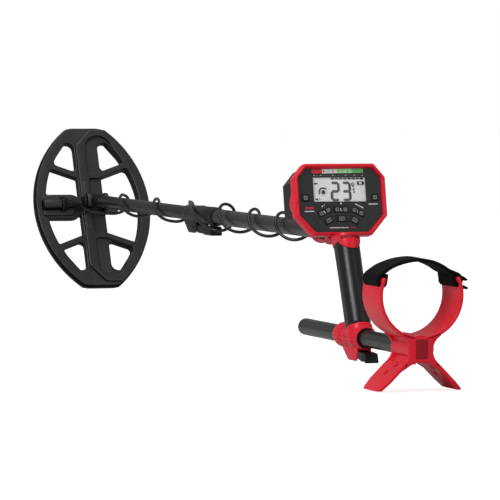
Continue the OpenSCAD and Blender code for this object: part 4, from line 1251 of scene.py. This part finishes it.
def build_fascia_print():
    # coloured band above the display: x, y, width, corner radius, height, material
    parts = [flat(rect(x, y, w, h, 1.0, radius), mat) for x, y, w, radius, h, mat in (
        (-29.2, 37.0, 12.9, 0.6, 5.2, print_red), (-12.4, 37.2, 19.4, 0.3, 5.6, print_white),
        (7.4, 37.4, 20.4, 0.3, 5.6, print_green),
        (25.2, 37.6, 15.4, 0.3, 5.6, print_deep_green))]
    for x, shape in ((-20.0, "block"), (-14.3, "ring"), (-7.5, "block"), (0.0, "wedge"),
                     (5.5, "ring"), (11.8, "wedge"), (19.0, "ring"), (26.5, "ring")):
        mat = icon_grey if x > -18 else print_red
        if shape == "block":
            parts.append(flat(rect(x, 37.0, 2.4, 2.8, 20, 0.6), mat, MARK_Z))
        elif shape == "ring":
            parts.append(flat(ring(x, 37.2, 1.9, 0.6), mat, MARK_Z, 0.05))
        else:
            parts.append(flat([(x - 2, 35.6), (x + 2, 35.6), (x + 0.3, 38.9)], mat, MARK_Z))
    # scale under the band
    for x in (-33, -24, -7.7, 9.3, 20.6, 31.6):
        parts.append(flat(rect(x, 31.9, 1.1, 1.0), print_white))
    for x in np.arange(-30, 32, 2.1):
        parts.append(flat(rect(float(x), 31.8, 1.2, 0.25), icon_grey))
    # lettering beside and above the keys
    parts += dashes(37.4, 50.4, y=-5.0, h=1.5, seed=3, mat=print_white)
    parts += dashes(19.6, 31.2, y=-4.6, h=1.5, seed=4, mat=print_white, degrees=-27)
    parts += dashes(-16.4, 9.0, y=-34.8, h=1.3, seed=5, mat=print_white)
    parts += dashes(11.0, 18.0, y=-34.6, h=0.9, seed=6, mat=print_red)
    for points, mat in (
            (rect(-24.6, -7.6, 1.8, 1.6, 25, 0.5), print_white),
            ([(-23.0, -6.2), (-21.4, -4.8), (-21.9, -7.0)], print_white),
            (rect(0.6, -3.9, 2.0, 2.0, 45, 0.3), print_white),
            (arc(-45.4, -9.6, 1.9, 0, 340, 18), print_red),
            (rect(-39.6, -9.6, 6.4, 2.6, 0, 0.8), print_red),
            (rect(-42.2, -13.8, 12.4, 1.2, 1.0), print_white)):
        parts.append(flat(points, mat))
    assemble("fascia_print", parts, "chassis", "fascia_black")


def lcd_mark(points, mat=segment_black):
    return flat(points, mat, LCD_Z, LCD_THICK)


def digit(cx, lit):
    """seven-segment digit; lit names its dark segments"""
    cy, w, h = 11.6, 9.2, 21.6
    x0, x1, y0, y1 = cx - w / 2, cx + w / 2, cy - h / 2, cy + h / 2
    ends = {"a": (x0, y1, x1, y1), "g": (x0, cy, x1, cy), "d": (x0, y0, x1, y0),
            "b": (x1, cy, x1, y1), "e": (x0, y0, x0, cy), "c": (x1, y0, x1, cy)}
    half, tip = 3.2 / 2, 3.2 * 0.42
    marks = []
    for letter in lit:
        ax, ay, bx, by = ends[letter]
        reach = math.hypot(bx - ax, by - ay) / 2
        bar = [(-reach + tip, -half), (reach - tip, -half), (reach, 0), (reach - tip, half),
               (-reach + tip, half), (-reach, 0)]
        marks.append(lcd_mark(turned(bar, (ax + bx) / 2, (ay + by) / 2,
                                     math.degrees(math.atan2(by - ay, bx - ax)))))
    return marks


def build_display():
    """picture under the clear window, and the window"""
    parts = [flat(rect(0, 14, 69.8, 30.8, 0, 0.4), lcd_grey, -1.56, 0.03)]
    for k in range(8):
        parts.append(lcd_mark(rect(-8.4 + 5.565 * k, 27.8, 4.6, 2.1, 0, 0.5)))
    parts += digit(-5.6, "abged") + digit(9.4, "abgcd")
    parts += [
        # left of the digits
        lcd_mark(rect(-30.8, 21.6, 4.8, 1.5, 0, 0.5)),
        lcd_mark(arc(-21.6, 10.6, 2.7, 0, 340, 20)),
        lcd_mark(ring(-21.6, 10.6, 6.3, 1.7, 42, 205)),
        lcd_mark(ring(-21.6, 10.6, 4.6, 0.5, 200, 400), ghost_grey),
        lcd_mark(rect(-31.6, 1.7, 1.4, 1.8)),
        lcd_mark([(-31.0, 1.7), (-29.2, 3.3), (-29.2, 0.1)]),
        lcd_mark(ring(-27.9, 1.7, 1.6, 0.5, -60, 60)),
        # column right of the digits
        lcd_mark(ring(18.6, 20.8, 2.1, 0.9, 0, 350)),
        lcd_mark([(17.4, 18.6), (19.8, 18.6), (18.6, 16.4)]),
        lcd_mark(rect(19.2, 14.0, 2.2, 2.2, 45, 0.3)),
        lcd_mark([(18.2, 11.4), (20.8, 11.4), (19.5, 9.2)]),
        # battery sign
        box_mark(28.4, 22.0, 8.4, 4.6, 1.4, segment_black, LCD_Z, LCD_THICK),
        lcd_mark(rect(26.0, 22.0, 1.9, 2.9)),
        lcd_mark(rect(31.2, 22.0, 1.6, 2.9)),
        lcd_mark(rect(33.1, 22.0, 0.9, 2.2)),
    ]
    assemble("display_picture", parts, "chassis", "lcd_grey")
    window = prism(rect(0, 14, 69.9, 30.9, 0, 0.5), -0.42, -0.18, 0.08, lens_clear, POD, segs=2,
                   name="display_lens")
    place(window, "chassis", "clear", "lcd_window")


# ---------------------------------------------------------------- keys
# name: x, y, turn in degrees, width, height
KEYS = {
    "key_left": (-46.3, 3.4, 0, 9.6, 8.8), "key_right": (46.3, 3.4, 0, 9.6, 8.8),
    "key_low_left": (-17.2, -25.4, 25, 12, 8), "key_low_mid": (0, -23.4, 0, 15, 8),
    "key_low_right": (17.2, -25.4, -25, 12, 8), "rocker_left": (-22, -14.6, 25, 18.6, 7.4),
    "rocker_mid": (0, -11.8, 0, 19.6, 7.4), "rocker_right": (22, -14.6, -25, 18.6, 7.4)}
KEY_TOP = 1.3
ROCKER_DIP = 0.42        # hollow in the middle of a rocker


def build_key(name, x, y, degrees, w, h):
    key = (POD @ Matrix.Translation((x, y, 0))) @ Matrix.Rotation(rad(degrees), 4, "Z")
    rocker = name.startswith("rocker")

    def dip(v):
        px, py, pz = v
        if pz > 0.2:
            pz -= ROCKER_DIP * math.cos(px / (w / 2) * math.pi / 2) ** 2
        return (px, py, pz)

    # points halfway along the long edges let the top dip
    outline = fillet([(-w / 2, -h / 2), (0, -h / 2), (w / 2, -h / 2), (w / 2, h / 2),
                      (0, h / 2), (-w / 2, h / 2)], [1.8, 0, 1.8, 1.8, 0, 1.8])
    parts = [prism(outline, -2.8, KEY_TOP, 0.7, key_black, key, bevel0=0.1,
                   warp=dip if rocker else None)]
    if rocker:     # boxed minus and plus, and a slanted stroke between them
        z = KEY_TOP - ROCKER_DIP * math.cos(0.27 * math.pi) ** 2 + 0.34
        for side in (-1, 1):
            mark_x = side * w * 0.27
            parts.append(box_mark(mark_x, 0, 4.2, 4.2, 0.95, icon_grey, z, 0.5, key))
            parts.append(flat(rect(mark_x, 0, 2.0, 0.6), icon_grey, z, 0.5, key))
            if side > 0:
                parts.append(flat(rect(mark_x, 0, 0.6, 2.0), icon_grey, z, 0.5, key))
        stroke = icon_grey if name == "rocker_right" else print_white
        parts.append(flat(rect(-0.6, -0.4, 0.9, 3.8, 18), stroke, KEY_TOP, 0.5, key))
    else:          # boxed ring
        z = KEY_TOP + 0.06
        parts.append(box_mark(0, 0, min(w - 5, 6.4), 4.6, 0.95, icon_grey, z, 0.5, key))
        parts.append(flat(ring(0, 0, 1.4, 0.4), icon_grey, z, 0.05, key))
    assemble(name + "_cap", parts, name + "_body", "key_black", name)


# ---------------------------------------------------------------- cable
CABLE_RADIUS = 2.15
CROSSINGS = [940, 776, 624, 472, 348, 235]     # x where the coiled cable crosses the shaft's top
# x along the shaft, radius of the cable's turns
TURN_RADII = ((440, 17), (470, 19), (540, 19), (600, 16), (690, 16), (700, 14.6))


def helix_point(x, degrees, r):
    return (x, r * math.sin(rad(degrees)), r * math.cos(rad(degrees)))


def cable_turn(i):
    """one turn round the shaft; most of the third turn's advance is in its first 150 degrees"""
    points = []
    for k in range(44):
        a = 360 * k / 44
        share = a / 360
        if i == 2:
            share = a / 150 * 0.835 if a < 150 else 0.835 + (a - 150) / 210 * 0.165
        x = CROSSINGS[i] + (CROSSINGS[i + 1] - CROSSINGS[i]) * share
        points.append(helix_point(x, a, float(np.interp(x, *zip(*TURN_RADII)))))
    return points


def relax(points, times=3):
    for _ in range(times):
        P = [np.array(p) for p in points]
        inner = [tuple((P[i - 1] + 2 * P[i] + P[i + 1]) / 4) for i in range(1, len(P) - 1)]
        points = [points[0]] + inner + [points[-1]]
    return points


def cable(name, path):
    points = [Vector(p) for p in path]
    rings = []
    u = Vector((0.13, 0.31, 0.94))     # any start that is not along the cable
    for i, point in enumerate(points):
        along = (points[min(i + 1, len(points) - 1)] - points[max(i - 1, 0)]).normalized()
        u = (u - along * u.dot(along)).normalized()
        v = along.cross(u)
        turns = [math.tau * k / 14 for k in range(14)]
        rings.append([tuple(point + (u * math.cos(a) + v * math.sin(a)) * CABLE_RADIUS)
                      for a in turns])
    return loft(rings, soft_black, name=name, angle=50)


def build_rear_cable():
    path = cable_turn(2) + cable_turn(3) + cable_turn(4)
    path += [helix_point(235 - 2.6 * k, k * 10.25, 17.2) for k in range(25)]
    tail = [helix_point(171.56, 250.1, 17.4), (160, -19.5, 4), (150, -21, 8.5), (140, -22, 12.2),
            (128, -22, 14.8), (112, -22, 16.6), (97, -22, 20.4)]
    path += smooth_path(tail, 5)[1:]
    place(cable("coil_cable_rear_run", relax(path)), "chassis", "soft_black", "coil_cable_rear")


def build_front_cable():
    start = [helix_point(*station) for station in (
        (985, 180, 15.4), (975, 207, 15.2), (966, 236, 14.9), (957, 270, 14.6),
        (949, 312, 14.6), (940, 360, 14.6))]
    path = smooth_path(start, 5)[:-1] + cable_turn(0) + cable_turn(1)
    path.append(helix_point(624.0, 0, 16))
    run = cable("coil_cable_front_run", relax(path))
    place(run, "chassis", "soft_black", "coil_cable_front")
    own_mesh(run)


def build_lead():
    """from the gland, past the hinge and on to the shaft"""
    on_coil = [(0, 44, 12), (0, 34, 12), (0, 26, 12), (-2.2, 23.6, 14.2), (-6, 23.3, 18.5),
               (-10.5, 23.3, 24), (-15, 21.5, 30)]
    path = [tuple(COIL @ Vector(p)) for p in on_coil]
    path += [(1052, 18.6, -12.5), (1041, 17, -14), (1028, 13.6, -15.2), (1014, 8.6, -15.9),
             (1000, 3.6, -15.8), helix_point(985, 180, 15.4), helix_point(982, 188, 15.35)]
    lead = cable("coil_lead_run", relax(smooth_path(path, 6), 2))
    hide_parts("coil_lead")
    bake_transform(lead)


# ---------------------------------------------------------------- stage, in metres
def floor_material():
    """matt grey that looks paler to the camera than to the other rays"""
    mat = bpy.data.materials.new("floor")
    mat.use_nodes = True
    tree = mat.node_tree
    link = tree.links.new
    shader = tree.nodes["Principled BSDF"]
    shader.inputs["Base Color"].default_value = (0.60, 0.60, 0.60, 1)
    shader.inputs["Roughness"].default_value = 0.95
    shader.inputs["Specular IOR Level"].default_value = 0.1
    glow = add_node(tree, "Emission", {"Color": (1, 1, 1, 1), "Strength": 0.46})
    rays = add_node(tree, "LightPath")
    strength = add_node(tree, "Math", {1: 0.81}, operation="MULTIPLY")
    link(rays.outputs["Is Camera Ray"], strength.inputs[0])
    link(strength.outputs[0], glow.inputs["Strength"])
    both = add_node(tree, "AddShader")
    link(shader.outputs[0], both.inputs[0])
    link(glow.outputs[0], both.inputs[1])
    link(both.outputs[0], tree.nodes["Material Output"].inputs["Surface"])
    return mat


def build_floor():
    half = 14
    z = min(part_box(n)[0].z for n in NODE) - 0.002
    data = bpy.data.meshes.new("floor")
    data.from_pydata([(-half, -half, z), (half, -half, z), (half, half, z), (-half, half, z)],
                     [], [(0, 1, 2, 3)])
    floor = bpy.data.objects.new("floor", data)
    data.materials.append(floor_material())
    bpy.context.scene.collection.objects.link(floor)


def build_world():
    """white to the camera, dim white light on the product"""
    world = bpy.data.worlds.new("w")
    bpy.context.scene.world = world
    world.use_nodes = True
    tree = world.node_tree
    link = tree.links.new
    dim = tree.nodes["Background"]
    dim.inputs[0].default_value = (1, 1, 1, 1)
    dim.inputs[1].default_value = 0.30
    backdrop = add_node(tree, "Background", {0: (1, 1, 1, 1), 1: 1.0})
    rays = add_node(tree, "LightPath")
    mix = add_node(tree, "MixShader")
    link(rays.outputs["Is Camera Ray"], mix.inputs[0])
    link(dim.outputs[0], mix.inputs[1])
    link(backdrop.outputs[0], mix.inputs[2])
    link(mix.outputs[0], tree.nodes["World Output"].inputs["Surface"])


def area_light(name, location, target, size, power):
    light = bpy.data.lights.new(name, "AREA")
    light.energy = power
    light.size = size
    obj = bpy.data.objects.new(name, light)
    obj.location = location
    aim = Vector(target) - Vector(location)
    obj.rotation_euler = aim.to_track_quat("-Z", "Y").to_euler()
    bpy.context.scene.collection.objects.link(obj)


def build_camera():
    camera = bpy.data.cameras.new("camera")
    camera.lens = 302.63
    camera.sensor_width = 36
    camera.clip_end = 100
    obj = bpy.data.objects.new("camera", camera)
    # columns: right, up, backwards, place
    obj.matrix_world = Matrix(((-.3246421, .0491449, -.9445593, -4.93022),
                               (-.9458205, -.0109775, .3245044, 1.81913),
                               (.0055788, .9987313, .0500460, 0.24200),
                               (0, 0, 0, 1)))
    bpy.context.scene.collection.objects.link(obj)
    bpy.context.scene.camera = obj


# ---------------------------------------------------------------- build
for build in (build_coil_shell, build_coil_skid, build_cable_gland, build_strain_relief,
              build_pivot_knob, build_shaft_tubes, build_arm_tube, build_front_clamp,
              build_front_lever, build_grip, build_handle_frame, build_rear_clamp,
              build_rear_lever, build_armrest, build_strap, build_pod_rim, build_fascia_print,
              build_display):
    build()
for key_name, key_sizes in KEYS.items():
    build_key(key_name, *key_sizes)
for build in (build_rear_cable, build_front_cable, build_lead, build_floor, build_world):
    build()
area_light("key", location=(-1.6, 2.6, 2.2), target=(0.35, 0, 0), size=1.6, power=74)
area_light("fill", location=(-2.6, -1.4, 1.2), target=(0.35, 0, 0), size=1.6, power=9)
area_light("top", location=(0.6, 0.3, 2.8), target=(0.45, 0, 0), size=2.2, power=24)
build_camera()
bpy.context.scene.view_settings.view_transform = "Standard"
